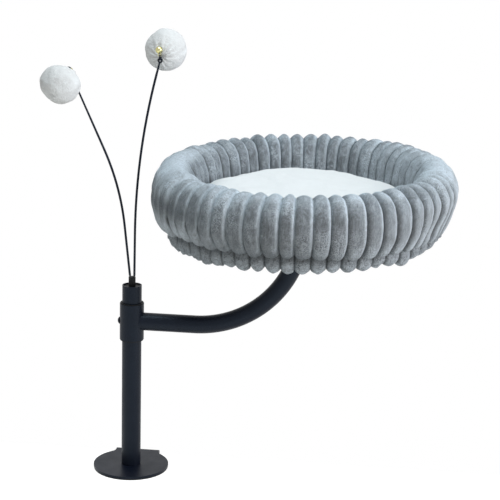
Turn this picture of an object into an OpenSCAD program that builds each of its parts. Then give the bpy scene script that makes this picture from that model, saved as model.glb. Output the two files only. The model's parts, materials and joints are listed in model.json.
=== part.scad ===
// Desk-mounted cat bed: a desk clamp carries a post, a swivelling arm and a plush bed,
// and two spring wires on the post hold plush balls.
// The origin is on the post's axis where the clamp's pad rests on the desk.
// +Z is up, +X runs along the arm to the bed, +Y is the back, where the clamp grips the desk edge.

/* [Clamp plate] */
// Diameter of the round top plate
plate_d = 98; // [90:1:112]
// Thickness of the top plate's steel
plate_t = 3; // [2.5:0.5:4]
// Thickness of the rubber pad under the top plate
top_pad_t = 1.5; // [1:0.5:3]
// How far the rubber pad stays inside the plate's edge
top_pad_inset = 0.5; // [0.2:0.1:2]
// Width of the tab at the back of the plate
tab_w = 58; // [56:1:64]
// From the post's axis to the back of the tab
tab_reach = 53.5; // [52.5:0.5:58]
// Radius that blends the tab's sides into the round plate
tab_blend_r = 8; // [5:1:10]
// Inner radius of the bend where the flange turns down
flange_bend_r = 1.5; // [1:0.5:3]

/* [Lower jaw] */
// Thickness of the lower jaw's steel
jaw_t = 4; // [3:0.5:5]
// Width of the lower jaw
jaw_w = 50; // [48:1:54]
// Inner radius of the lower jaw's bend
jaw_bend_r = 3; // [2:0.5:4]
// Height and depth of the gussets in the jaw's corner
gusset_size = 20; // [12:1:22]
// Thickness of each gusset
gusset_t = 3; // [2:0.5:4]
// Thickest desk that the clamp opens to
desk_max = 45; // [42:1:60]
// Thinnest desk that the clamp closes on
desk_min = 10; // [6:1:12]
// Thickness of the desk that the clamp is set to
desk_t = 25; // [15:1:40]

/* [Jaw bolts] */
// Thread diameter of the bolts that hold the lower jaw
jaw_bolt_d = 6; // [5:0.5:6.5]
// Distance between the two columns of jaw bolts
jaw_bolt_gap_x = 34; // [30:1:36]
// Distance between the two rows of jaw bolts
jaw_bolt_gap_z = 14; // [13:1:18]
// From a jaw bolt to the edge of the steel above or below it
jaw_bolt_edge = 8; // [7:0.5:10]
// Clearance of a bolt in its hole, on the radius
bolt_clear = 0.05; // [0.02:0.01:0.1]
// Head diameter of the round-headed screws
screw_head_d = 9.8; // [9:0.1:11]
// Head height of the round-headed screws
screw_head_h = 2.9; // [2.5:0.1:3.3]
// Width across the flats of the key socket
socket_af = 4; // [3:0.5:5]
// Depth of the key socket
socket_depth = 1.8; // [1:0.1:2]

/* [Clamp screw] */
// From the post's axis back to the clamp screw's axis
screw_reach = 14; // [10:1:18]
// Thread diameter of the clamp screw
screw_d = 10; // [8:0.5:11]
// Width across the flats of the welded nut
nut_af = 17; // [15:0.5:19]
// Height of the welded nut
nut_h = 8; // [6:0.5:10]
// Diameter of the pressure disc
disc_d = 44; // [36:1:50]
// Thickness of the pressure disc
disc_t = 4; // [3.5:0.5:5]
// Thickness of the rubber pad on the pressure disc
disc_pad_t = 2; // [1.5:0.5:3]
// Thickness of the washer under the pressure disc
washer_t = 1; // [0.6:0.2:1.6]
// Diameter of the washer under the pressure disc
washer_d = 18; // [15:1:22]
// Diameter of the riveted pin that holds the pressure disc
rivet_d = 6; // [5:0.5:6.5]
// Diameter of the rivet's head
rivet_head_d = 10.6; // [9:0.2:12]
// Thickness of the rivet's head
rivet_head_t = 1.4; // [1:0.1:1.6]
// Diameter of the knob
knob_d = 42; // [34:1:52]
// Height of the knob
knob_h = 20; // [16:1:28]
// Number of finger grooves around the knob
knob_grooves = 7; // [5:1:9]
// Diameter of a finger groove
knob_groove_d = 12; // [10:1:13]

/* [Post] */
// Outside diameter of the post
post_d = 25; // [22:0.5:28]
// Wall of the post's tube
post_wall = 1.5; // [1.2:0.1:2]
// Height of the post's top above the desk
post_h = 248; // [240:1:262]
// How far the plug lies below the post's rim
cap_recess = 1.5; // [1:0.5:3]
// Length of the plug in the post's top
cap_h = 9; // [8:1:14]
// Outside diameter of the toy holder
holder_d = 9; // [9:0.1:10]
// How far the toy holder stands above the post's rim
holder_rise = 11; // [8:0.5:14]
// How deep the toy holder sits in the plug
holder_seat = 6; // [4:0.5:7]

/* [Collar and arm] */
// Wall of the plastic bush between post and collar
bush_wall = 0.9; // [0.8:0.1:1.4]
// Thickness of the bush's lips above and below the collar
bush_lip_t = 1; // [0.8:0.1:1.5]
// Width of the slot that lets the bush spring open
bush_slot_w = 1.6; // [1:0.2:3]
// Running clearance of post, bush and collar, on the radius
run_clear = 0.05; // [0.03:0.01:0.08]
// Wall of the collar's tube
collar_wall = 2; // [1.8:0.1:2.6]
// Height of the collar with the bush's lips
collar_h = 50; // [46:1:54]
// Height of the arm's axis above the desk
arm_h = 200; // [150:1:208]
// Outside diameter of the arm's tube
arm_d = 23; // [20:0.5:25]
// Wall of the arm's tube
arm_wall = 1.5; // [1.2:0.1:2]
// From the post's axis to where the arm starts to bend
arm_straight = 82; // [60:1:110]
// Radius of the arm's bend on its axis
arm_bend_r = 134; // [125:1:150]
// Thread diameter of the lock screw in the collar
lock_d = 6; // [5:0.5:6.5]

/* [Bed plate] */
// Diameter of the steel flange on the arm's top
flange_d = 100; // [88:1:120]
// Thickness of the steel flange
flange_t = 3; // [2.5:0.5:5]
// Circle of the four bolts in the steel flange
flange_pcd = 76; // [66:1:80]
// Thread diameter of the flange bolts
flange_bolt_d = 6; // [5:0.5:6.5]
// Diameter of the wooden board
board_d = 308; // [290:1:312]
// Thickness of the wooden board
board_t = 9; // [8:0.5:15]
// Outside diameter of a tee nut's barrel
tee_barrel_d = 7.8; // [7.5:0.1:9]
// Diameter of a tee nut's flange
tee_flange_d = 18; // [15:0.5:20]
// Thickness of a tee nut's flange
tee_flange_t = 1.3; // [1:0.1:2]
// Thickness of the cloth under the board
cloth_t = 1.2; // [0.8:0.1:1.8]

/* [Bed] */
// Outside diameter of the bolster over its ribs
bed_d = 381; // [376:1:384]
// Height of the bolster
bolster_h = 76; // [70:1:90]
// Thickness of the bolster's roll
bolster_w = 57; // [54:1:59]
// Number of plush ribs around the bed
ribs = 57; // [48:1:60]
// How deep the grooves between the bolster's ribs are
rib_depth = 3.4; // [1:0.2:4]
// Diameter of the base over its ribs
base_d = 337; // [334:1:339]
// Thickness of the padding on the board
base_t = 6; // [4:0.5:9]
// How far the base's roll hangs below the board
base_drop = 20; // [14:1:26]
// How deep the grooves between the base's ribs are
base_rib_depth = 2.2; // [1:0.2:3]
// Height of the seat pad at its crown
pad_h = 35; // [28:1:40]
// Gap from the seat pad's widest edge to the bolster
pad_gap = 1; // [0.6:0.1:3]
// Air left between soft pieces and their neighbours
soft_gap = 0.4; // [0.3:0.05:0.6]

/* [Toys] */
// Diameter of the spring wires up to the end of their bends
wire_d = 3; // [2.6:0.1:3]
// Diameter of the spring wires at their eyes
wire_tip_d = 2.2; // [1.8:0.1:2.3]
// Distance between the feet of the two wires
wire_gap = 5.8; // [5.6:0.1:6.2]
// Length of the left wire's straight foot
left_foot = 65; // [60:1:70]
// Lean of the left wire's straight foot
left_foot_angle = 6.3; // [5.5:0.1:6.5]
// Bend radius of the left wire
left_bend_r = 320; // [300:10:350]
// Lean of the left wire's straight top
left_top_angle = 24.4; // [23:0.1:25]
// Length of the left wire's straight top
left_top = 106; // [90:0.5:110]
// Length of the right wire's straight foot
right_foot = 55; // [40:1:60]
// Lean of the right wire's straight foot
right_foot_angle = 0.4; // [0.2:0.1:2]
// Bend radius of the right wire
right_bend_r = 860; // [800:10:900]
// Lean of the right wire's straight top
right_top_angle = 14.1; // [12:0.1:15]
// Length of the right wire's straight top
right_top = 15; // [10:0.5:40]
// Radius of the eye at a wire's end, on its axis
eye_r = 2.2; // [2.1:0.1:2.6]
// Radius of a link ring, on its axis
link_r = 3.2; // [3:0.1:3.6]
// Thickness of a link ring
link_d = 1; // [0.8:0.1:1.1]
// Radius of the loops on bells and balls, on their axis
loop_r = 1.8; // [1.7:0.1:2]
// Thickness of the loops on bells and balls
loop_d = 0.8; // [0.6:0.1:0.9]
// Outside diameter of a bell
bell_d = 9; // [8:0.5:10]
// Wall of a bell
bell_wall = 0.5; // [0.4:0.1:0.8]
// Width of the slot in a bell
bell_slot_w = 1; // [0.8:0.1:1.4]
// Diameter of the ball inside a bell
pea_d = 3; // [2.5:0.1:4]
// Diameter of the left plush ball around its waist
left_ball_d = 51.5; // [44:0.5:52]
// Length of the left plush ball from pole to pole
left_ball_h = 50.5; // [48:0.5:56]
// Diameter of the right plush ball around its waist
right_ball_d = 54.5; // [48:0.5:57]
// Length of the right plush ball from pole to pole
right_ball_h = 52; // [48:0.5:60]

/* [Hidden] */

steel_black = [0.09, 0.10, 0.12];
plastic_black = [0.06, 0.06, 0.07];
rubber_black = [0.12, 0.12, 0.13];
zinc = [0.62, 0.64, 0.66];
brass = [0.83, 0.68, 0.30];
plush_grey = [0.50, 0.54, 0.58];
plush_white = [0.90, 0.92, 0.94];
plywood = [0.76, 0.62, 0.44];
cloth_black = [0.16, 0.16, 0.18];

// One overrun for every cut that has to pass right through
cut = 1;
// Smoothness of round shapes
$fn = 72;
// Slack that keeps a running face off its neighbour, along its axis
end_play = 0.1;

// Clamp levels and places
plate_z = top_pad_t;
plate_top = plate_z + plate_t;
flange_outer_r = flange_bend_r + plate_t;
flange_drop = 2 * jaw_bolt_edge + jaw_bolt_gap_z;
jaw_bolt_z = [for (row = [0, 1]) -jaw_bolt_edge - row * jaw_bolt_gap_z];
jaw_back = tab_reach + jaw_t;
stack_t = disc_pad_t + disc_t + washer_t;
jaw_floor_z = -(desk_max + stack_t + nut_h + 2 * end_play);
disc_top_z = -desk_t - disc_pad_t;
washer_bottom_z = disc_top_z - disc_t - washer_t;
shoulder_z = washer_bottom_z - end_play;
// Air between the knob and the jaw when the clamp is closed on its thinnest desk
knob_gap = 2;
knob_top_z = jaw_floor_z - jaw_t - (desk_t - desk_min) - knob_gap;
// Skin left under the clamp screw's end inside the knob
knob_skin = 4;
// The knob's hub, as shares of its width and height, and its grip's edge as a share of the grip
hub_d_share = 0.52;
hub_h_share = 0.25;
grip_edge_share = 0.16;
// How far outside the knob the finger grooves are centred, as a share of a groove's width
groove_out_share = 0.24;
// Clearance of the jaw's holes around threads that pass freely
free_clear = 0.5;
// Recess of the rivet's head under the rubber pad
rivet_sink = rivet_head_t + 4 * end_play;

// Post, collar and arm levels and places
holder_top_z = post_h + holder_rise;
cap_top_z = post_h - cap_recess;
// Round of the toy holder's edge, as a share of its width
holder_edge_share = 0.08;
bush_in_r = post_d / 2 + run_clear;
bush_out_r = bush_in_r + bush_wall;
collar_in_r = bush_out_r + run_clear;
collar_out_r = collar_in_r + collar_wall;
collar_z = arm_h - collar_h / 2;
// How far the bush's lips stay inside the collar's rim
lip_inset = 0.6;
// Gap that a weld fills where one tube meets another
weld_gap = 0.05;
// Clearance between the lock screw's tip and the bush when it is loose
lock_tip_gap = 0.15;

// Bed plate levels
bed_x = arm_straight + arm_bend_r;
flange_z = arm_h + arm_bend_r;
board_z = flange_z + flange_t;
board_top = board_z + board_t;
// How far a tee nut's barrel stays short of the board's underside
tee_short = 0.6;
// Air around the steel flange where the cloth is cut out
cloth_hole_gap = 1.5;

// Bed sizes
base_top = board_top + soft_gap + base_t;
base_in_r = board_d / 2 + 1.5 * soft_gap;
base_r = base_d / 2;
bolster_in_r = bed_d / 2 - bolster_w;
bolster_z = board_z + soft_gap;
// Inner edge of the bolster's seat on the base, as a share of its roll
seat_share = 0.13;
seat_in_r = bolster_in_r + seat_share * bolster_w;
// How far the base's padding falls from the bolster's seat to its rim
rim_fall = 6.4;
rim_slope = rim_fall / (base_r - seat_in_r);
// Places on the base's hanging roll, as shares of its width and of its drop
roll_shares = [[0, 0.5], [0.28, 0.1], [0.62, 0], [0.9, 0.25]];
// Height on the base's rim where its ribs stand out most, as a share of the rim
rim_share = 0.56;
// How far the base's top edge draws in from its widest rib
rib_inset = 1;
// Outline of the bolster's roll from its lowest point up, over its top and down its inside:
// shares of its width and of its height
bolster_shares = [
    [0.73, 0], [0.92, 0.16], [1, 0.44], [0.905, 0.8],
    [0.61, 1], [0.27, 0.94], [0.06, 0.74], [0, 0.43]
];
// Outline of the seat pad from its underside to its crown: shares of its radius and height
pad_shares = [
    [0.55, 0], [0.91, 0], [0.98, 0.2], [1, 0.42], [0.985, 0.62], [0.93, 0.79], [0.72, 0.93], [0.36, 0.99]
];
// Ripples around the seat pad's edge and their depth as a share of its radius
pad_ripples = 15;
ripple_share = 0.008;

// Toy places: how the runs of a wire lap, and the gaps at its foot and between its rings
wire_r = wire_d / 2;
tip_r = wire_tip_d / 2;
foot_gap = 0.3;
run_step = 0.02;
run_lap = 1;
foot_z = holder_top_z + foot_gap + wire_r;
ring_gap = 0.3;
// Centre of a link ring, seen from the centre of the eye that it hangs in
link_shift = link_r + eye_r - tip_r - link_d / 2 - ring_gap;
// Centre of a loop, seen from the centre of the link ring that carries it
loop_shift = link_r + loop_r - loop_d / 2 - link_d / 2 - ring_gap;
// How deep a bell's loop is set into its shell
loop_sink = 0.3;
bell_shift = loop_shift + loop_r + bell_d / 2 - loop_sink;
tie_end = loop_shift + loop_r + loop_d / 2;
// Direction of each link ring, from straight up towards the bed, and of the ball on it
left_link_angle = -160;
right_link_angle = -5;
left_ball_yaw_angle = 260;
left_ball_pitch_angle = -31;
right_ball_yaw_angle = 84;
right_ball_pitch_angle = 16;
// Where each bell and tie hangs around its link ring
left_bell_angle = 90;
left_tie_angle = -90;
right_bell_angle = -12;
right_tie_angle = 90;
// Folds gathered at each ball's pole, their depth and the pole's dimple, as shares of the radius
folds = 12;
fold_share = 0.05;
dimple_share = 0.08;

// General shapes

// A ring, or the part of one that the angle gives: a round bar of radius r swept on radius sweep_r
module torus(sweep_r, r, angle = 360) {
    rotate_extrude(angle = angle) translate([sweep_r, 0]) circle(r = r);
}

// A round-headed screw: its head stands on z = 0 and its shank hangs below
module round_screw(d, length) {
    dome_r = (pow(screw_head_d / 2, 2) + pow(screw_head_h, 2)) / (2 * screw_head_h);
    translate([0, 0, -length]) cylinder(d = d, h = length);
    difference() {
        intersection() {
            translate([0, 0, screw_head_h - dome_r]) sphere(r = dome_r);
            cylinder(d = screw_head_d + cut, h = screw_head_h + cut);
        }
        translate([0, 0, screw_head_h - socket_depth])
            cylinder(d = socket_af / cos(30), h = socket_depth + cut, $fn = 6);
    }
}

// Faces of a closed skin: points run around a section, stations run around the axis
function ring_faces(stations, m) = [
    for (i = [0 : stations - 1], j = [0 : m - 1])
        let (n = (i + 1) % stations, k = (j + 1) % m)
            for (f = [[i * m + j, i * m + k, n * m + k], [i * m + j, n * m + k, n * m + j]]) f
];

// Faces of a skin that closes on the axis: the last two points are its bottom and top
function capped_faces(stations, m) = concat(
    [
        for (i = [0 : stations - 1], j = [0 : m - 2])
            let (n = (i + 1) % stations)
                for (f = [[i * m + j, i * m + j + 1, n * m + j + 1], [i * m + j, n * m + j + 1, n * m + j]]) f
    ],
    [for (i = [0 : stations - 1]) [i * m, (i + 1) % stations * m, stations * m]],
    [for (i = [0 : stations - 1]) [i * m + m - 1, stations * m + 1, (i + 1) % stations * m + m - 1]]
);

// A point at radius r and height z on station number i
function around(i, stations, r, z) = let (a = 360 * i / stations) [r * cos(a), r * sin(a), z];

// Clamp

// Outline of the top plate: the round plate, its tab and the blends between them
module plate_outline(reach) {
    half = tab_w / 2;
    blend_x = half + tab_blend_r;
    blend_y = sqrt(pow(plate_d / 2 + tab_blend_r, 2) - pow(blend_x, 2));
    near = plate_d / (plate_d + 2 * tab_blend_r);
    circle(d = plate_d);
    translate([-half, 0]) square([tab_w, reach]);
    for (side = [0, 1]) mirror([side, 0]) difference() {
        polygon([[0, blend_y], [blend_x, blend_y], [blend_x * near, blend_y * near], [0, 0]]);
        translate([blend_x, blend_y]) circle(r = tab_blend_r);
    }
}

module jaw_bolt_places() {
    for (x = [-1, 1], z = jaw_bolt_z)
        translate([x * jaw_bolt_gap_x / 2, 0, z]) rotate([-90, 0, 0]) children();
}

module top_plate() color(steel_black) difference() {
    union() {
        translate([0, 0, plate_z]) linear_extrude(plate_t) plate_outline(tab_reach - flange_outer_r);
        translate([-tab_w / 2, tab_reach - flange_outer_r, plate_top - flange_outer_r])
            rotate([90, 0, 90]) linear_extrude(tab_w) intersection() {
                difference() {
                    circle(r = flange_outer_r);
                    circle(r = flange_bend_r);
                }
                square(flange_outer_r);
            }
        translate([-tab_w / 2, tab_reach - plate_t, -flange_drop])
            cube([tab_w, plate_t, flange_drop + plate_top - flange_outer_r]);
    }
    translate([0, tab_reach - plate_t - cut, 0])
        jaw_bolt_places() cylinder(r = jaw_bolt_d / 2 + bolt_clear, h = plate_t + 2 * cut);
}

module top_pad() color(rubber_black) cylinder(d = plate_d - 2 * top_pad_inset, h = top_pad_t);

module lower_jaw() color(steel_black) {
    corner_y = tab_reach - jaw_bend_r;
    corner_z = jaw_floor_z + jaw_bend_r;
    difference() {
        union() {
            translate([-jaw_w / 2, tab_reach, corner_z]) cube([jaw_w, jaw_t, -corner_z]);
            translate([-jaw_w / 2, corner_y, corner_z]) rotate([90, 0, 90]) linear_extrude(jaw_w)
                intersection() {
                    difference() {
                        circle(r = jaw_bend_r + jaw_t);
                        circle(r = jaw_bend_r);
                    }
                    translate([0, -jaw_bend_r - jaw_t]) square(jaw_bend_r + jaw_t);
                }
            translate([-jaw_w / 2, screw_reach, jaw_floor_z - jaw_t])
                cube([jaw_w, corner_y - screw_reach, jaw_t]);
            translate([0, screw_reach, jaw_floor_z - jaw_t]) cylinder(d = jaw_w, h = jaw_t);
            for (x = [-jaw_w / 2, jaw_w / 2 - gusset_t])
                translate([x, tab_reach, jaw_floor_z]) rotate([90, 0, 90]) linear_extrude(gusset_t)
                    polygon([[0, 0], [-gusset_size, 0], [0, gusset_size]]);
        }
        translate([0, tab_reach - cut, 0])
            jaw_bolt_places() cylinder(r = jaw_bolt_d / 2 + free_clear, h = jaw_t + 2 * cut);
        translate([0, screw_reach, jaw_floor_z - jaw_t - cut])
            cylinder(r = screw_d / 2 + free_clear, h = jaw_t + 2 * cut);
    }
}

module jaw_bolts() color(zinc) translate([0, jaw_back, 0]) jaw_bolt_places()
    round_screw(jaw_bolt_d, jaw_t + plate_t - end_play);

module spindle_nut() color(zinc) translate([0, screw_reach, jaw_floor_z]) difference() {
    cylinder(d = nut_af / cos(30), h = nut_h, $fn = 6);
    translate([0, 0, -cut]) cylinder(r = screw_d / 2 + bolt_clear, h = nut_h + 2 * cut);
}

module pressure_pad() color(rubber_black) translate([0, screw_reach, disc_top_z])
    cylinder(d = disc_d - 2 * top_pad_inset, h = disc_pad_t);

module pressure_disc() color(zinc) translate([0, screw_reach, disc_top_z - disc_t]) difference() {
    // Edge round of the pressure disc
    edge_r = disc_t / 4;
    union() {
        translate([0, 0, edge_r]) cylinder(d = disc_d, h = disc_t - edge_r);
        cylinder(d = disc_d - 2 * edge_r, h = edge_r);
        translate([0, 0, edge_r]) torus(disc_d / 2 - edge_r, edge_r);
    }
    translate([0, 0, -cut]) cylinder(r = rivet_d / 2 + bolt_clear, h = disc_t + 2 * cut);
    translate([0, 0, disc_t - rivet_sink])
        cylinder(r = rivet_head_d / 2 + 2 * end_play, h = rivet_sink + cut);
}

module thrust_washer() color(plastic_black) translate([0, screw_reach, washer_bottom_z]) difference() {
    cylinder(d = washer_d, h = washer_t);
    translate([0, 0, -cut]) cylinder(r = rivet_d / 2 + bolt_clear, h = washer_t + 2 * cut);
}

module clamp_screw() color(zinc) translate([0, screw_reach, 0]) {
    screw_bottom_z = knob_top_z - knob_h + knob_skin;
    head_z = disc_top_z - rivet_sink + end_play;
    translate([0, 0, screw_bottom_z]) cylinder(d = screw_d, h = shoulder_z - screw_bottom_z);
    translate([0, 0, shoulder_z]) cylinder(d = rivet_d, h = head_z - shoulder_z);
    translate([0, 0, head_z]) cylinder(d = rivet_head_d, h = rivet_head_t);
}

module clamp_knob() color(plastic_black) translate([0, screw_reach, knob_top_z - knob_h]) difference() {
    // The knob narrows to a hub above its grip
    hub_d = knob_d * hub_d_share;
    hub_h = knob_h * hub_h_share;
    grip_h = knob_h - hub_h;
    edge_r = grip_h * grip_edge_share;
    groove_reach = knob_d / 2 + knob_groove_d * groove_out_share;
    union() {
        rotate_extrude() union() {
            square([knob_d / 2 - edge_r, grip_h]);
            translate([0, edge_r]) square([knob_d / 2, grip_h - 2 * edge_r]);
            for (z = [edge_r, grip_h - edge_r]) translate([knob_d / 2 - edge_r, z]) circle(r = edge_r);
        }
        translate([0, 0, grip_h - edge_r]) cylinder(d = hub_d, h = hub_h + edge_r);
    }
    for (i = [0 : knob_grooves - 1]) rotate([0, 0, 360 * i / knob_grooves])
        translate([groove_reach, 0, -cut]) cylinder(d = knob_groove_d, h = grip_h + 2 * cut);
    translate([0, 0, knob_skin]) cylinder(r = screw_d / 2 + bolt_clear, h = knob_h + cut);
}

// Post

module post_tube() color(steel_black) translate([0, 0, plate_top]) difference() {
    cylinder(d = post_d, h = post_h - plate_top);
    translate([0, 0, -cut]) cylinder(d = post_d - 2 * post_wall, h = post_h - plate_top + 2 * cut);
}

module post_cap() color(plastic_black) translate([0, 0, cap_top_z - cap_h]) difference() {
    cylinder(r = post_d / 2 - post_wall - run_clear, h = cap_h);
    translate([0, 0, cap_h - holder_seat]) cylinder(r = holder_d / 2 + run_clear, h = holder_seat + cut);
}

module toy_holder() color(plastic_black) translate([0, 0, cap_top_z - holder_seat]) {
    edge_r = holder_d * holder_edge_share;
    rise = holder_top_z - cap_top_z + holder_seat;
    cylinder(d = holder_d, h = rise - edge_r);
    translate([0, 0, rise - edge_r]) {
        cylinder(d = holder_d - 2 * edge_r, h = edge_r);
        torus(holder_d / 2 - edge_r, edge_r);
    }
}

// Collar and arm

module collar_bush() color(plastic_black) translate([0, 0, collar_z]) difference() {
    union() {
        cylinder(r = bush_out_r, h = collar_h);
        for (z = [0, collar_h - bush_lip_t])
            translate([0, 0, z]) cylinder(r = collar_out_r - lip_inset, h = bush_lip_t);
    }
    translate([0, 0, -cut]) cylinder(r = bush_in_r, h = collar_h + 2 * cut);
    translate([0, -bush_slot_w / 2, -cut]) cube([collar_out_r + cut, bush_slot_w, collar_h + 2 * cut]);
}

module collar() color(steel_black) difference() {
    tube_h = collar_h - 2 * (bush_lip_t + end_play);
    translate([0, 0, arm_h - tube_h / 2]) cylinder(r = collar_out_r, h = tube_h);
    translate([0, 0, arm_h - tube_h / 2 - cut]) cylinder(r = collar_in_r, h = tube_h + 2 * cut);
    translate([0, 0, arm_h]) rotate([0, -90, 0])
        cylinder(r = lock_d / 2 + bolt_clear, h = collar_out_r + cut);
}

// Solid run of the arm, as thick as the given radius
module arm_run(r, overrun) {
    translate([0, 0, arm_h]) rotate([0, 90, 0]) cylinder(r = r, h = arm_straight);
    translate([arm_straight, 0, flange_z]) rotate([90, 0, 0]) rotate([0, 0, -90]) torus(arm_bend_r, r, 90);
    if (overrun > 0) translate([bed_x, 0, flange_z]) cylinder(r = r, h = overrun);
}

module arm_tube() color(steel_black) difference() {
    arm_run(arm_d / 2, 0);
    arm_run(arm_d / 2 - arm_wall, cut);
    translate([0, 0, arm_h - arm_d]) cylinder(r = collar_out_r + weld_gap, h = 2 * arm_d);
}

module lock_screw() color(zinc) translate([-collar_out_r - end_play, 0, arm_h]) rotate([0, -90, 0])
    round_screw(lock_d, collar_out_r + end_play - bush_out_r - lock_tip_gap);

// Bed plate

module flange_bolt_places() {
    for (i = [0 : 3]) rotate([0, 0, 45 + 90 * i]) translate([flange_pcd / 2, 0, 0]) children();
}

module arm_flange() color(steel_black) translate([bed_x, 0, flange_z]) difference() {
    cylinder(d = flange_d, h = flange_t);
    translate([0, 0, -cut]) flange_bolt_places()
        cylinder(r = flange_bolt_d / 2 + free_clear, h = flange_t + 2 * cut);
}

module flange_bolts() color(zinc) translate([bed_x, 0, flange_z]) flange_bolt_places() mirror([0, 0, 1])
    round_screw(flange_bolt_d, flange_t + board_t - tee_flange_t);

module board() color(plywood) translate([bed_x, 0, board_z]) difference() {
    cylinder(d = board_d, h = board_t);
    translate([0, 0, -cut]) flange_bolt_places() {
        cylinder(r = tee_barrel_d / 2 + bolt_clear, h = board_t + 2 * cut);
        translate([0, 0, cut + board_t - tee_flange_t - 2 * end_play])
            cylinder(r = tee_flange_d / 2 + 2 * end_play, h = tee_flange_t + cut);
    }
}

module tee_nuts() color(zinc) translate([bed_x, 0, board_z]) flange_bolt_places() {
    flange_low = board_t - tee_flange_t - end_play;
    difference() {
        union() {
            translate([0, 0, tee_short]) cylinder(d = tee_barrel_d, h = flange_low - tee_short);
            translate([0, 0, flange_low]) cylinder(d = tee_flange_d, h = tee_flange_t);
        }
        translate([0, 0, tee_short - cut])
            cylinder(r = flange_bolt_d / 2 + bolt_clear, h = board_t + 2 * cut);
    }
}

module underside_cloth() color(cloth_black)
    translate([bed_x, 0, board_z - soft_gap - cloth_t]) difference() {
    cylinder(r = base_in_r - soft_gap, h = cloth_t);
    translate([0, 0, -cut]) cylinder(r = flange_d / 2 + cloth_hole_gap, h = cloth_t + 2 * cut);
}

// Bed

// 1 on a groove's station and 0 on a rib's
function groove(i) = i % 2;

// Section of the base at a station, from under the board out around its roll to its top
function base_section(i) =
    let (
        roll_w = base_r - base_in_r,
        low_z = board_z - base_drop,
        rim_z = base_top - rim_fall,
        dip = groove(i) * base_rib_depth
    )
    concat(
        [[base_in_r, board_top + soft_gap]],
        [
            for (s = roll_shares)
                [base_in_r + s[0] * roll_w - s[0] * dip / 2, low_z + s[1] * base_drop + (1 - s[1]) * dip / 2]
        ],
        [
            [base_r - dip, low_z + rim_share * (rim_z - low_z)],
            [base_r - rib_inset - dip / 2, rim_z],
            [seat_in_r, base_top]
        ]
    );

module bed_base() color(plush_grey) {
    stations = 2 * ribs;
    rows = len(base_section(0));
    points = [for (i = [0 : stations - 1], p = base_section(i)) around(i, stations, p[0], p[1])];
    ends = [[0, 0, board_top + soft_gap], [0, 0, base_top]];
    translate([bed_x, 0, 0])
        polyhedron(points = concat(points, ends), faces = capped_faces(stations, rows), convexity = 6);
}

// Section of the bolster at a station, from its lowest point up the outside and down the inside
function bolster_section(i) =
    let (
        middle = [bolster_in_r + bolster_w / 2, bolster_z + bolster_h / 2],
        outline = [for (s = bolster_shares) [bolster_in_r + s[0] * bolster_w, bolster_z + s[1] * bolster_h]],
        foot_r = base_r + 2 * soft_gap
    )
    concat(
        [for (p = outline) let (v = middle - p) p + groove(i) * rib_depth * v / norm(v)],
        [
            [seat_in_r, base_top + soft_gap],
            [foot_r, base_top + soft_gap - rim_slope * (foot_r - seat_in_r)]
        ]
    );

module bolster() color(plush_grey) {
    stations = 2 * ribs;
    rows = len(bolster_section(0));
    points = [for (i = [0 : stations - 1], p = bolster_section(i)) around(i, stations, p[0], p[1])];
    translate([bed_x, 0, 0])
        polyhedron(points = points, faces = ring_faces(stations, rows), convexity = 8);
}

module seat_pad() color(plush_white) {
    stations = 4 * pad_ripples;
    rows = len(pad_shares);
    pad_r = bolster_in_r - pad_gap;
    pad_z = base_top + soft_gap;
    points = [
        for (i = [0 : stations - 1], s = pad_shares)
            let (ripple = 1 - ripple_share * s[1] * (1 - cos(360 * i / 4)))
                around(i, stations, pad_r * s[0] * ripple, pad_z + pad_h * s[1])
    ];
    ends = [[0, 0, pad_z], [0, 0, pad_z + pad_h]];
    translate([bed_x, 0, 0])
        polyhedron(points = concat(points, ends), faces = capped_faces(stations, rows), convexity = 4);
}

// Toys

// End of a wire seen from its foot: straight, bent and straight again, leaning towards +X
function wire_bend_centre(foot, foot_angle, bend_r) =
    foot * [sin(foot_angle), 0, cos(foot_angle)] + bend_r * [cos(foot_angle), 0, -sin(foot_angle)];
function wire_bend_end(foot, foot_angle, bend_r, top_angle) =
    wire_bend_centre(foot, foot_angle, bend_r) + bend_r * [-cos(top_angle), 0, sin(top_angle)];
function eye_centre(foot, foot_angle, bend_r, top_angle, top) =
    wire_bend_end(foot, foot_angle, bend_r, top_angle)
    + (top + eye_r) * [sin(top_angle), 0, cos(top_angle)];

left_eye = let (e = eye_centre(left_foot, left_foot_angle, left_bend_r, left_top_angle, left_top))
    [-wire_gap / 2 - e[0], 0, foot_z + e[2]];
right_eye = let (e = eye_centre(right_foot, right_foot_angle, right_bend_r, right_top_angle, right_top))
    [wire_gap / 2 + e[0], 0, foot_z + e[2]];

// The straight runs are a hair thinner than the bend and lap into it, so the wire is one solid.
// The top run tapers to the eye.
module spring_wire(foot, foot_angle, bend_r, top_angle, top) color(steel_black) {
    run_r = wire_r - run_step;
    sphere(r = wire_r);
    rotate([0, foot_angle, 0]) cylinder(r = run_r, h = foot + run_lap);
    translate(wire_bend_centre(foot, foot_angle, bend_r))
        rotate([90, 0, 0]) rotate([0, 0, 180 - top_angle]) torus(bend_r, wire_r, top_angle - foot_angle);
    translate(wire_bend_end(foot, foot_angle, bend_r, top_angle))
        rotate([0, top_angle, 0]) translate([0, 0, -run_lap])
            cylinder(r1 = run_r, r2 = tip_r - run_step, h = top + run_lap);
    translate(eye_centre(foot, foot_angle, bend_r, top_angle, top)) rotate([90, 0, 0]) torus(eye_r, tip_r);
}

// The link ring's own axes: X away from the eye, Y to the back, origin at the ring's centre
module on_link(eye, turn) {
    translate(eye) rotate([0, turn - 90, 0]) translate([link_shift, 0, 0]) children();
}

// A point that far from a link ring's centre, at an angle around the ring, in the part's own frame
function around_link(eye, turn, place, reach) =
    eye + (link_shift + reach * cos(place)) * [sin(turn), 0, cos(turn)] + [0, reach * sin(place), 0];

module link_ring(eye, turn) color(steel_black) on_link(eye, turn) torus(link_r, link_d / 2);

module small_loop() {
    translate([loop_shift, 0, 0]) rotate([90, 0, 0]) torus(loop_r, loop_d / 2);
}

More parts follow.
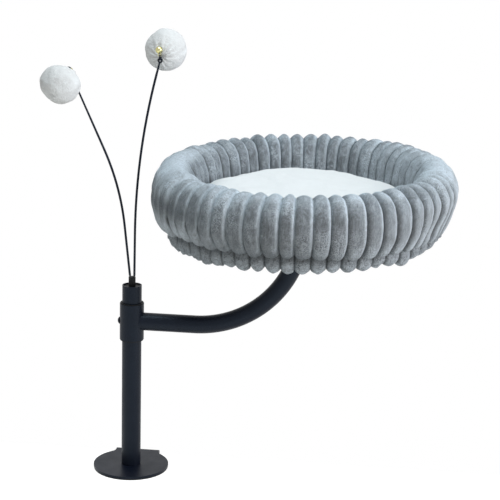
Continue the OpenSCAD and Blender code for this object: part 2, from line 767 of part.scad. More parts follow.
// A jingle bell hung on the link ring at an angle around it
module bell(eye, turn, place) color(brass) on_link(eye, turn) rotate([0, 0, place]) {
    difference() {
        small_loop();
        translate([bell_shift, 0, 0]) sphere(d = bell_d - bell_wall);
    }
    translate([bell_shift, 0, 0]) difference() {
        sphere(d = bell_d);
        sphere(d = bell_d - 2 * bell_wall);
        translate([0, -bell_slot_w / 2, -bell_d / 2]) cube([bell_d, bell_slot_w, bell_d]);
    }
}

// The loose ball lies at the bottom of the bell, whichever way the bell points
module bell_pea(eye, turn, place) {
    pea_drop = (bell_d - pea_d) / 2 - bell_wall - ring_gap;
    color(zinc) translate(around_link(eye, turn, place, bell_shift) - [0, 0, pea_drop]) sphere(d = pea_d);
}

module tie(eye, turn, place) color(plastic_black) on_link(eye, turn) rotate([0, 0, place]) small_loop();

// A plush ball, drawn in at the pole where it is tied: its centre lies at yaw and pitch from the tie
module pompom(tip, yaw, pitch, ball_d, ball_h) color(plush_white) {
    stations = 2 * folds;
    rows = 9;
    pole_r = ball_h / 2 * (1 - dimple_share);
    away = [cos(pitch) * cos(yaw), cos(pitch) * sin(yaw), sin(pitch)];
    points = [
        for (i = [0 : stations - 1], j = [1 : rows])
            let (
                polar = 180 - 180 * j / (rows + 1),
                near_pole = pow((1 + cos(polar)) / 2, 4),
                draw = 1 - near_pole * (dimple_share + fold_share * groove(i))
            )
            around(i, stations, ball_d / 2 * sin(polar) * (1 - fold_share * groove(i) * sin(polar) / 3),
                ball_h / 2 * cos(polar) * draw)
    ];
    ends = [[0, 0, -ball_h / 2], [0, 0, pole_r]];
    translate(tip + (pole_r + ring_gap) * away)
        rotate([0, 90 + pitch, yaw + 180])
            polyhedron(points = concat(points, ends), faces = capped_faces(stations, rows), convexity = 4);
}

module wire_left() translate([-wire_gap / 2, 0, foot_z]) mirror([1, 0, 0])
    spring_wire(left_foot, left_foot_angle, left_bend_r, left_top_angle, left_top);
module link_left() link_ring(left_eye, left_link_angle);
module bell_left() bell(left_eye, left_link_angle, left_bell_angle);
module bell_pea_left() bell_pea(left_eye, left_link_angle, left_bell_angle);
module tie_left() tie(left_eye, left_link_angle, left_tie_angle);
module pompom_left() pompom(around_link(left_eye, left_link_angle, left_tie_angle, tie_end),
    left_ball_yaw_angle, left_ball_pitch_angle, left_ball_d, left_ball_h);

module wire_right() translate([wire_gap / 2, 0, foot_z])
    spring_wire(right_foot, right_foot_angle, right_bend_r, right_top_angle, right_top);
module link_right() link_ring(right_eye, right_link_angle);
module bell_right() bell(right_eye, right_link_angle, right_bell_angle);
module bell_pea_right() bell_pea(right_eye, right_link_angle, right_bell_angle);
module tie_right() tie(right_eye, right_link_angle, right_tie_angle);
module pompom_right() pompom(around_link(right_eye, right_link_angle, right_tie_angle, tie_end),
    right_ball_yaw_angle, right_ball_pitch_angle, right_ball_d, right_ball_h);

top_plate();
top_pad();
lower_jaw();
jaw_bolts();
spindle_nut();
pressure_pad();
pressure_disc();
thrust_washer();
clamp_screw();
clamp_knob();
post_tube();
post_cap();
toy_holder();
collar_bush();
collar();
arm_tube();
lock_screw();
arm_flange();
flange_bolts();
board();
tee_nuts();
underside_cloth();
bed_base();
bolster();
seat_pad();
wire_left();
link_left();
bell_left();
bell_pea_left();
tie_left();
pompom_left();
wire_right();
link_right();
bell_right();
bell_pea_right();
tie_right();
pompom_right();
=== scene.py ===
import json
import math

import bpy
import numpy as np
from mathutils import Matrix, Vector, noise


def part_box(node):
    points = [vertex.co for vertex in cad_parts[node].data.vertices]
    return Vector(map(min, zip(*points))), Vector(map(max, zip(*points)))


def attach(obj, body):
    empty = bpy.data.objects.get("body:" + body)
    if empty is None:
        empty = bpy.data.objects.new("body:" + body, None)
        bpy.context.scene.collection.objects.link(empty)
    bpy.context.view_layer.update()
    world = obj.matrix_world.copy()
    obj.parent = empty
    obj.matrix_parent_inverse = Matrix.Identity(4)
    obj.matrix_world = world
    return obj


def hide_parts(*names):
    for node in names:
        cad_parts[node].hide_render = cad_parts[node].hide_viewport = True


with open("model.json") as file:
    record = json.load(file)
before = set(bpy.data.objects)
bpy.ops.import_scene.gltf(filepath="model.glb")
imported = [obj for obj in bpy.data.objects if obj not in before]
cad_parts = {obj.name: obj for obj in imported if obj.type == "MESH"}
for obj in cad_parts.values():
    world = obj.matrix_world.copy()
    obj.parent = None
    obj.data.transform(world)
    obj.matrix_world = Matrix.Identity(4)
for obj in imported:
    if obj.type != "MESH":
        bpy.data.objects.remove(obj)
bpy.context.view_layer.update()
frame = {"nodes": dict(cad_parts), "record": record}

bl_info = {
    "name": "Desk-mounted cat bed",
    "version": (1, 0, 0),
    "blender": (4, 5, 0),
    "location": "View3D > Sidebar > Cat bed",
    "description": "Plush, steel and toys of a cat bed that clamps to a desk",
    "category": "Object",
}

MM = 0.001
TAU = 2 * math.pi
# Points nearer than this are welded, and edges sharper than this stay sharp
WELD = 0.01 * MM
SHARP = math.radians(35)


def middle(node):
    """Centre of a node's box."""
    low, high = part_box(node)
    return (low + high) / 2


def rgb(red, green, blue):
    """A colour written as it looks on a screen, turned into the linear values of a shader."""
    out = []
    for value in (red, green, blue):
        c = value / 255
        out.append(c / 12.92 if c <= 0.04045 else ((c + 0.055) / 1.055) ** 2.4)
    return tuple(out)


BED = middle("bolster")
BOLSTER_LOW, BOLSTER_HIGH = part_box("bolster")
BASE_LOW, BASE_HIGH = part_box("bed_base")
PAD_LOW, PAD_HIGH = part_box("seat_pad")
SCREW_LOW, SCREW_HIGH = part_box("clamp_screw")


# What a user would change

def length_property(name, description, length):
    return bpy.props.FloatProperty(
        name=name, description=description, default=length, unit="LENGTH", precision=4)


def colour_property(name, description, values):
    return bpy.props.FloatVectorProperty(
        name=name, description=description, default=rgb(*values), subtype="COLOR", size=3, min=0, max=1)


class CatBedSizes(bpy.types.PropertyGroup):
    """Sizes of the soft pieces and of the clamp screw's thread"""

    ribs: bpy.props.IntProperty(
        name="Ribs", description="Plush ribs around the bed", default=57, min=30, max=80)
    rib_depth: length_property("Rib depth", "Depth of the grooves between the bolster's ribs", 5.2 * MM)
    base_rib_depth: length_property(
        "Base rib depth", "Depth of the grooves between the base's ribs", 4.0 * MM)
    lean: length_property(
        "Lean", "How far the bolster's crest rises at the back and drops at the front", 8 * MM)
    crest_rise: length_property("Crest rise", "How far the stuffing lifts the whole crest", 4 * MM)
    slant: length_property(
        "Slant", "How far the base's roll hangs lower on the left and higher on the right", 9 * MM)
    pad_swell: length_property(
        "Pad swell", "Most that the seat pad's cover may swell as it is stuffed", 9 * MM)
    folds: bpy.props.IntProperty(
        name="Folds", description="Folds gathered where a plush ball is tied", default=13, min=6, max=24)
    thread_pitch: length_property("Thread pitch", "Pitch of the clamp screw", 1.5 * MM)
    thread_depth: length_property("Thread depth", "Depth of the clamp screw's thread", 0.8 * MM)
    staples: bpy.props.IntProperty(
        name="Staples", description="Staples that hold the cloth under the board", default=24, min=8, max=48)


class CatBedColours(bpy.types.PropertyGroup):
    """Colours of the finishes"""

    # Grey plush: the shade colour gives darker pile and also painted shade, and the light colour gives paler
    # pile and also painted highlight
    plush_grey: colour_property("Grey plush", "Pile of the bolster and the base", (157, 162, 167))
    plush_shade: colour_property("Grey plush shade", "Pile that is brushed away", (114, 117, 120))
    plush_light: colour_property("Grey plush light", "Pile that is brushed flat", (196, 204, 211))
    plush_white: colour_property("White plush", "Pile of the seat pad and the balls", (243, 246, 247))
    black_coat: colour_property("Black coat", "Powder coat of the steel", (10, 15, 28))
    black_plastic: colour_property("Black plastic", "Knob, plug, bush and holder", (8, 10, 13))
    black_rubber: colour_property("Black rubber", "Pads of the clamp", (38, 38, 40))
    zinc: colour_property("Zinc", "Screws, nut and pressure disc", (190, 193, 198))
    brass: colour_property("Brass", "Bells", (198, 191, 138))
    plywood: colour_property("Plywood", "Board under the bed", (205, 174, 130))
    black_cloth: colour_property("Black cloth", "Cloth under the board", (44, 44, 48))
    floor: colour_property("Desk", "Pale desk under the clamp", (240, 236, 230))


class CatBedSettings(bpy.types.PropertyGroup):
    """All settings of the cat bed"""

    sizes: bpy.props.PointerProperty(type=CatBedSizes)
    colours: bpy.props.PointerProperty(type=CatBedColours)


# Materials

def scaled(colour, share):
    """A colour made darker or lighter by a share, or by one for each channel."""
    shares = share if isinstance(share, tuple) else (share,) * 3
    return tuple(min(1, c * k) for c, k in zip(colour, shares))


class Finish:
    """A material and the few node moves that the finishes share."""

    def __init__(self, name):
        self.material = bpy.data.materials.new(name)
        self.material.use_nodes = True
        self.tree = self.material.node_tree
        self.tree.nodes.clear()
        self.shader = self.add("ShaderNodeBsdfPrincipled")
        self.output = self.add("ShaderNodeOutputMaterial", Surface=self.shader.outputs["BSDF"])
        self.place = self.add("ShaderNodeTexCoord").outputs["Object"]

    def put(self, value, socket):
        """Links another socket, or sets a value. A colour may come without its alpha."""
        if isinstance(value, bpy.types.NodeSocket):
            self.tree.links.new(value, socket)
        elif socket.type == "RGBA":
            socket.default_value = (*value[:3], 1)
        else:
            socket.default_value = value

    def add(self, kind, **inputs):
        node = self.tree.nodes.new(kind)
        for name, value in inputs.items():
            self.put(value, node.inputs[name.replace("_", " ")])
        return node

    def set(self, **inputs):
        for name, value in inputs.items():
            self.put(value, self.shader.inputs[name.replace("_", " ")])

    def noise(self, scale, detail, roughness, distortion=0.0, stretch=None):
        """Noise of that many cells a metre."""
        source = self.place
        if stretch:
            source = self.add("ShaderNodeMapping", Vector=source, Scale=stretch).outputs["Vector"]
        node = self.add("ShaderNodeTexNoise", Vector=source, Scale=scale, Detail=detail,
                        Roughness=roughness, Distortion=distortion)
        return node.outputs["Fac"]

    def attribute(self, name):
        node = self.add("ShaderNodeAttribute")
        node.attribute_name = name
        return node.outputs["Fac"]

    def spread(self, source, low, high, start=0.0, end=1.0):
        """Maps low..high to start..end and clamps."""
        node = self.add("ShaderNodeMapRange", Value=source,
                        From_Min=low, From_Max=high, To_Min=start, To_Max=end)
        return node.outputs["Result"]

    def math(self, kind, first, second):
        node = self.add("ShaderNodeMath")
        node.operation = kind
        self.put(first, node.inputs[0])
        self.put(second, node.inputs[1])
        return node.outputs["Value"]

    def times(self, first, second):
        return self.math("MULTIPLY", first, second)

    def plus(self, first, second):
        return self.math("ADD", first, second)

    def mix(self, factor, first, second):
        node = self.add("ShaderNodeMix")
        node.data_type = "RGBA"
        for name, value in (("Factor_Float", factor), ("A_Color", first), ("B_Color", second)):
            self.put(value, next(s for s in node.inputs if s.identifier == name))
        return next(s for s in node.outputs if s.identifier == "Result_Color")

    def layers(self, base, *layers):
        """A colour with others laid over it, each by its own factor."""
        for factor, colour in layers:
            base = self.mix(factor, base, colour)
        return base

    def clouds(self, source, band, colour, share, roughness):
        """A hard finish that is darker by a share and rougher where its clouds are dense."""
        self.set(Base_Color=self.mix(self.spread(source, *band), colour, scaled(colour, share)),
                 Roughness=self.spread(source, 0.3, 0.7, *roughness))

    def bump(self, height, distance, strength):
        node = self.add("ShaderNodeBump", Height=height, Distance=distance, Strength=strength)
        self.set(Normal=node.outputs["Normal"])


def grey_plush(colours):
    """Short ribbed pile in brushed patches, with a painted highlight on the lit flank of each rib, painted
    shade on its other flank, and painted shade in shaded places.
    """
    f = Finish("grey_plush")
    grey, shade, light = colours.plush_grey, colours.plush_shade, colours.plush_light
    patches = f.spread(f.noise(46, 5, 0.7, 0.9), 0.4, 0.62)
    streaks = f.spread(f.noise(240, 5, 0.75, 1.2, (1, 1, 0.28)), 0.4, 0.6)
    mottle = f.spread(f.noise(120, 5, 0.75, 0.9, (1, 1, 0.6)), 0.43, 0.57)
    crushed = f.spread(f.noise(330, 5, 0.75, 2.2), 0.47, 0.57)
    where = f.math("MAXIMUM", f.spread(f.noise(22, 3, 0.6, 0.4), 0.48, 0.62), f.attribute("crushed"))
    fibres = f.noise(1700, 3, 0.7)
    brushed = f.spread(streaks, 0, 1, 0.85, 0.5)
    under = f.math("MINIMUM", f.times(f.attribute("underside"), 0.6), 0.9)
    body = f.layers(
        grey,
        (f.times(patches, 0.6), light),
        (f.times(mottle, 0.65), shade),
        (f.times(streaks, 0.6), scaled(shade, 0.85)),
        (f.times(crushed, f.times(where, 0.85)), scaled(light, 1.3)),
        # Painted shade on the unlit flanks and in the grooves, painted highlight on the lit flanks, and
        # painted shade below and between parts
        (f.times(f.attribute("flank"), 0.5), scaled(shade, 0.55)),
        (f.times(f.attribute("pale"), brushed), scaled(light, 1.33)),
        (under, scaled(shade, (0.42, 0.4, 0.38))))
    tint = f.add("ShaderNodeHueSaturation", Value=f.spread(fibres, 0.25, 0.75, 0.82, 1.15), Color=body)
    height = f.plus(f.times(fibres, 0.5), f.times(crushed, 0.5))
    f.bump(f.plus(height, f.times(streaks, 0.9)), 1.6 * MM, 0.7)
    f.set(Base_Color=tint.outputs["Color"], Roughness=0.92, Specular_IOR_Level=0.15,
          Sheen_Weight=0.3, Sheen_Roughness=0.4, Sheen_Tint=rgb(206, 226, 242))
    return f.material


def white_plush(colours):
    """Long soft pile, parted in small tufts."""
    f = Finish("white_plush")
    white = colours.plush_white
    patches = f.spread(f.noise(38, 4, 0.6, 0.8), 0.35, 0.68)
    tufts = f.spread(f.noise(300, 4, 0.65, 1.6), 0.36, 0.66)
    fibres = f.noise(1500, 3, 0.7)
    body = f.layers(
        white,
        (f.times(patches, 0.35), scaled(white, 0.86)),
        (f.times(tufts, 0.22), scaled(white, 0.78)),
        # The fold attribute darkens the pile: a darker tone, painted shade in folds and dips, and on the
        # balls painted shade on top and at the bottom
        (f.times(f.attribute("fold"), 0.6), scaled(white, (0.64, 0.605, 0.59))))
    f.bump(f.plus(tufts, f.times(fibres, 0.35)), 0.9 * MM, 0.4)
    f.set(Base_Color=body, Roughness=0.95, Specular_IOR_Level=0.1, Sheen_Weight=0.25, Sheen_Roughness=0.5)
    return f.material


def black_coat(colours):
    """Satin powder coat: a fine orange peel and a faint unevenness of gloss."""
    f = Finish("satin_black_steel")
    f.clouds(f.noise(60, 3, 0.5), (0.35, 0.7), colours.black_coat, 0.82, (0.36, 0.44))
    f.bump(f.noise(1100, 2, 0.5), 0.04 * MM, 0.4)
    f.set(Specular_IOR_Level=0.2, Specular_Tint=(0.74, 0.88, 1.0))
    return f.material


def bright_zinc(colours):
    """Zinc plate with turning marks and a little tarnish."""
    f = Finish("zinc_plated_steel")
    f.clouds(f.noise(260, 4, 0.6), (0.4, 0.75), colours.zinc, 0.7, (0.26, 0.42))
    f.bump(f.noise(900, 2, 0.5, 0, (1, 1, 5)), 0.02 * MM, 0.5)
    f.set(Metallic=1.0)
    return f.material


def moulded_plastic(colours):
    """Fine spark-eroded grain."""
    f = Finish("black_plastic")
    f.clouds(f.noise(90, 3, 0.5), (0.35, 0.7), colours.black_plastic, 0.8, (0.48, 0.6))
    f.bump(f.noise(1900, 3, 0.6), 0.06 * MM, 0.6)
    f.set(Specular_IOR_Level=0.2)
    return f.material


def clamp_rubber(colours):
    """Matt rubber with a pebbled face and dust in it."""
    f = Finish("black_rubber")
    dust = f.spread(f.noise(180, 4, 0.7), 0.5, 0.8)
    body = f.mix(f.times(dust, 0.3), colours.black_rubber, rgb(88, 88, 90))
    f.bump(f.noise(700, 3, 0.6), 0.12 * MM, 0.7)
    f.set(Base_Color=body, Roughness=0.82, Specular_IOR_Level=0.3)
    return f.material


def bell_brass(colours):
    """Polished brass with light scratches."""
    f = Finish("brass")
    f.clouds(f.noise(700, 3, 0.6), (0.4, 0.8), colours.brass, 0.72, (0.14, 0.26))
    f.bump(f.noise(2400, 2, 0.5), 0.015 * MM, 0.4)
    f.set(Metallic=1.0)
    return f.material


def board_plywood(colours):
    """Sanded face grain; the edge shows its plies as bands."""
    f = Finish("plywood")
    wood = colours.plywood
    rings = f.noise(14, 4, 0.6, 1.4, (1, 9, 1))
    pores = f.noise(420, 3, 0.6, 0.4, (0.12, 1, 1))
    plies = f.noise(500, 1, 0.4, 0, (0.02, 0.02, 1))
    body = f.layers(
        wood,
        (f.spread(rings, 0.35, 0.65), scaled(wood, 0.74)),
        (f.times(f.spread(plies, 0.42, 0.58), 0.3), scaled(wood, 0.6)),
        (f.times(f.spread(pores, 0.5, 0.75), 0.35), scaled(wood, 0.5)))
    f.bump(pores, 0.08 * MM, 0.4)
    f.set(Base_Color=body, Roughness=0.68)
    return f.material


def dust_cloth(colours):
    """Non-woven cloth with its pressed dimples."""
    f = Finish("black_cloth")
    cloth = colours.black_cloth
    cells = f.add("ShaderNodeTexVoronoi", Vector=f.place, Scale=480)
    dimples = f.spread(cells.outputs["Distance"], 0.15, 0.6)
    fibres = f.noise(1300, 4, 0.7, 1.0)
    body = f.layers(
        cloth,
        (f.times(dimples, 0.5), scaled(cloth, 1.7)),
        (f.times(f.spread(fibres, 0.4, 0.7), 0.4), scaled(cloth, 0.5)))
    f.bump(f.plus(dimples, f.times(fibres, 0.5)), 0.15 * MM, 0.6)
    f.set(Base_Color=body, Roughness=0.9, Specular_IOR_Level=0.2)
    return f.material


FINISHES = {
    "satin_black_steel": black_coat, "zinc_plated_steel": bright_zinc, "black_plastic": moulded_plastic,
    "black_rubber": clamp_rubber, "brass": bell_brass, "plywood": board_plywood,
    "black_cloth": dust_cloth, "grey_plush": grey_plush, "white_plush": white_plush,
}


def finish(slot):
    """The material of a slot, made on first use."""
    found = bpy.data.materials.get("cat_bed_" + slot)
    if found is None:
        found = FINISHES[slot](bpy.context.scene.cat_bed.colours)
        found.name = "cat_bed_" + slot
    return found


# Modelling helpers

def only(piece):
    """Selects one piece and nothing else."""
    bpy.ops.object.select_all(action="DESELECT")
    piece.select_set(True)
    bpy.context.view_layer.objects.active = piece


def fresh(name):
    """Names the piece that was just added, which is the only one selected."""
    piece = bpy.context.object
    piece.name = name
    piece.data.name = name
    return piece


def apply_modifier(piece, kind, **values):
    """Adds a modifier, sets it and applies it."""
    bpy.ops.object.modifier_add(type=kind)
    modifier = piece.modifiers[-1]
    for key, value in values.items():
        setattr(modifier, key, value)
    bpy.ops.object.modifier_apply(modifier=modifier.name)


def mode(kind):
    bpy.ops.object.mode_set(mode=kind)


def edit(*steps):
    """Runs edit-mode steps in turn on everything in the active piece."""
    mode("EDIT")
    bpy.ops.mesh.select_all(action="SELECT")
    for action in steps:
        action()
    mode("OBJECT")


def points_of(piece):
    out = np.zeros(len(piece.data.vertices) * 3)
    piece.data.vertices.foreach_get("co", out)
    return out.reshape(-1, 3)


def set_points(piece, points):
    piece.data.vertices.foreach_set("co", np.asarray(points, float).ravel())
    piece.data.update()


def store(piece, name, values):
    """Keeps one number a vertex for the materials."""
    layer = piece.data.attributes.get(name) or piece.data.attributes.new(name, "FLOAT", "POINT")
    layer.data.foreach_set("value", np.asarray(values, np.float32))


def finish_piece(piece, slot, body):
    """Gives a piece its finish, slot and body."""
    piece.data.materials.clear()
    piece.data.materials.append(finish(slot))
    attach(piece, body)
    return piece


def smooth_line(corners, count, closed, weight=None):
    """A smooth line through corners, as count points spread along it by weight."""
    p = np.asarray(corners, float)
    n = len(p)
    steps_between_corners = 24
    fine = []
    for i in range(n if closed else n - 1):
        a, b = (p[i - 1] if closed or i else p[0]), p[i]
        c, d = p[(i + 1) % n], (p[(i + 2) % n] if closed or i + 2 < n else p[-1])
        for t in np.linspace(0, 1, steps_between_corners, endpoint=False):
            fine.append(0.5 * (2 * b + (c - a) * t + (2 * a - 5 * b + 4 * c - d) * t ** 2
                               + (3 * b - a - 3 * c + d) * t ** 3))
    fine = np.array(fine + [p[0] if closed else p[-1]])
    length = np.linalg.norm(np.diff(fine, axis=0), axis=1)
    if weight:
        length = length * weight((fine[1:] + fine[:-1]) / 2)
    run = np.concatenate([[0], np.cumsum(length)])
    at = np.linspace(0, run[-1], count, endpoint=not closed)
    return np.stack([np.interp(at, run, fine[:, 0]), np.interp(at, run, fine[:, 1])], axis=1)


def outward(line, closed):
    """Outward normals of a line that runs anticlockwise."""
    if closed:
        along = np.roll(line, -1, axis=0) - np.roll(line, 1, axis=0)
    else:
        along = np.gradient(line, axis=0)
    normal = np.stack([along[:, 1], -along[:, 0]], axis=1)
    return normal / np.linalg.norm(normal, axis=1, keepdims=True)


def ripple(points, scale, seed):
    """Smooth noise at each point, about -1 to 1."""
    shift = Vector((seed * 3.7, seed * 1.3, seed * 7.1))
    return np.array([noise.noise(Vector(p) * scale + shift) for p in points])


def step(value, low, high):
    """0 below low and 1 above high, with a soft rise between them."""
    t = np.clip((value - low) / (high - low), 0, 1)
    return t * t * (3 - 2 * t)


def hill(value, peak, width):
    """1 at the peak, with a soft fall to both sides."""
    return np.exp(-((value - peak) / width) ** 2)


# The ribbed rolls

# Places of the stations across one rib, denser towards its grooves
RIB_PLACES = (-0.5, -0.475, -0.44, -0.38, -0.29, -0.18, -0.06, 0.06, 0.18, 0.29, 0.38, 0.44, 0.475)
SECTION_POINTS = 60
# How far the ribs' edges stray, in ribs
RIB_STRAY = 0.055
RIB_WIDTH_SEED = 11
BOLSTER_SEED = 11
BASE_SEED = 5
BOLSTER_WIDTH = 57 * MM
SEAM_GAP = 0.4 * MM
BASE_ROLL_WIDTH = 14 * MM


class Roll:
    """A flat grid rolled up into a ring of ribs. Its arrays hold one row for each station of the ring."""

    def __init__(self, name, line, closed, ribs, seed):
        self.rng = np.random.default_rng(seed)
        self.ribs = ribs
        self.rib = np.repeat(np.arange(ribs), len(RIB_PLACES))
        u = np.tile(np.array(RIB_PLACES), ribs)
        # The same uneven widths on every ring, so the ribs of the base hang below those of the bolster
        shift = np.random.default_rng(RIB_WIDTH_SEED).normal(0, RIB_STRAY, ribs)
        edge = shift[self.rib] * (0.5 - u) + shift[(self.rib + 1) % ribs] * (0.5 + u)
        self.turn = (self.rib + 0.5 + u + edge) / ribs * TAU
        self.shape = (len(u), len(line))
        self.r, self.z = (np.tile(values, (len(u), 1)) for values in line.T)
        self.normal_r, self.normal_z = (np.tile(values, (len(u), 1)) for values in outward(line, closed).T)
        self.cos, self.sin = np.cos(self.turn)[:, None], np.sin(self.turn)[:, None]
        self.spot = np.stack([self.r * self.cos, self.r * self.sin, self.z], axis=2).reshape(-1, 3)
        # From the middle of a rib to its groove, and towards the lit side of the rib
        self.across = np.abs(2 * u)[:, None]
        self.lit_side = u[:, None] * np.clip(-4 * self.sin, -1, 1)
        self.add_grid(name, closed)

    def add_grid(self, name, closed):
        stations, rows = self.shape
        across = rows if closed else rows - 1
        bpy.ops.mesh.primitive_grid_add(x_subdivisions=stations, y_subdivisions=across, size=1)
        self.piece = fresh(name)
        p = points_of(self.piece)
        self.station = np.rint((p[:, 0] + 0.5) * stations).astype(int) % stations
        self.row = np.rint((p[:, 1] + 0.5) * across).astype(int)
        if closed:
            self.row %= rows

    def per_rib(self, values):
        """Gives each station the value of its rib."""
        return values[self.rib][:, None]

    def ripple(self, scale, seed, stretch=1):
        return ripple(self.spot * np.array([1, 1, stretch]), scale, seed).reshape(self.shape)

    def near(self, degrees, width):
        """1 at an angle, counted from the bed's right end over its back, with a soft fall to both sides."""
        return np.exp(-((1 - np.cos(self.turn - math.radians(degrees))) / width))[:, None]

    def place(self, r, z):
        """Moves the grid to its points."""
        points = np.stack([BED.x + r * self.cos, BED.y + r * self.sin, z], axis=2)
        set_points(self.piece, points[self.station, self.row])

    def store(self, name, values):
        store(self.piece, name, values[self.station, self.row])

    def close(self):
        """Welds the seams of the ring."""
        edit(lambda: bpy.ops.mesh.remove_doubles(threshold=WELD),
             lambda: bpy.ops.mesh.normals_make_consistent())
        bpy.ops.object.shade_smooth()
        return self.piece


def build_bolster(sizes):
    """Ribbed roll: rounded ribs between narrow grooves, smooth on the crown at both ends."""
    width, height = BOLSTER_WIDTH, BOLSTER_HIGH.z - BOLSTER_LOW.z
    inner = BED.x - BOLSTER_LOW.x - width
    low = BOLSTER_LOW.z
    seat_z = BASE_HIGH.z + SEAM_GAP
    shares = [(0.70, 0.0), (0.88, 0.085), (0.985, 0.28), (1.0, 0.47), (0.955, 0.70), (0.82, 0.90),
              (0.60, 0.995), (0.38, 0.98), (0.17, 0.87), (0.045, 0.68), (0.0, 0.46), (0.025, 0.3)]
    corners = [(inner + a * width, low + b * height) for a, b in shares]
    corners.append((inner + 0.14 * width, seat_z + 1.2 * MM))
    corners.append((inner + 0.42 * width, seat_z - 1.0 * MM))
    line = smooth_line(corners, SECTION_POINTS, True)
    roll = Roll("bolster_plush", line, True, sizes.ribs, BOLSTER_SEED)
    r, z, cos, sin, across, rng = roll.r, roll.z, roll.cos, roll.sin, roll.across, roll.rng
    up = (z - low) / height
    out = (r - inner) / width
    # Ribs: round crests between grooves, combed flat on the crown at both ends
    wall = 1 - step(up, 0.72, 0.95)
    flat_face = 1 - np.sqrt(np.clip(1 - np.minimum(across, 1) ** 3.1, 0, 1))
    dip = wall * flat_face + (1 - wall) * across ** 1.9
    crown = step(up, 0.7, 0.92) * step(out, 0.08, 0.34)
    left_end, right_end = hill(cos, -1, 0.14), hill(cos, 1, 0.1)
    fade = 1 - crown * (0.9 * left_end + 0.7 * right_end)
    on_seat = 1 - step(z, seat_z - 1 * MM, seat_z) * step(0.5 - out, 0, 0.1) * step(0.35 - up, 0, 0.1)
    swing = np.clip(1 + 0.18 * roll.per_rib(rng.standard_normal(roll.ribs)), 0.6, 1.45)
    swing = swing * (1 + 0.1 * step(up, 0.75, 1.0))
    swing = swing * (1 + 0.5 * step(0.4 - up, 0, 0.3) * step(-cos, 0.3, 0.8))
    swing = swing * (1 - 0.3 * step(0.5 - out, 0, 0.4))
    sink = sizes.rib_depth * swing * fade * on_seat * dip
    # Puffs along each rib and slack folds on the inner side, where the pile is crowded
    swell = roll.ripple(scale=26, seed=1) * 1.5 * MM
    fold = roll.ripple(scale=70, seed=2, stretch=1.6) * 1.1 * MM
    fine = roll.ripple(scale=210, seed=3) * 0.35 * MM
    crowded = 0.5 + 0.9 * step(out, 0.6, 0.1)
    jump = roll.per_rib(0.9 * MM * rng.standard_normal(roll.ribs))
    push = (swell + fold * crowded + fine + jump * (1 - dip)) * on_seat - sink
    r, z = r + roll.normal_r * push, z + roll.normal_z * push
    # The roll leans with the arm's give, its right end sits a little higher, and two ribs are fuller
    crest = sizes.crest_rise + sizes.lean * sin + 2.5 * MM * cos
    crest = crest + 2.5 * MM * roll.near(8, 0.05)
    crest = crest + 2 * MM * roll.near(46, 0.02)
    foot = sizes.lean * 1.9 * step(cos, 0.6, 0.95) * step(out, 0.6, 0.95)
    r = r - 4 * MM * step(cos, 0.5, 0.95) * step(0.65 - up, 0, 0.4) * step(out, 0.6, 0.95)
    z = z + crest * step(up, 0.0, 1.0) + foot * step(0.9 - up, 0.0, 0.9)
    # Each rib ends in a rounded tip over the base
    notch = across ** 3 * step(0.34 - up, 0, 0.3) * step(out, 0.62, 0.8)
    z = z + 5 * MM * notch
    roll.place(r, z)
    brush_bolster(roll, up, out, fade, crown * left_end, crown * right_end, notch)
    return roll.close()


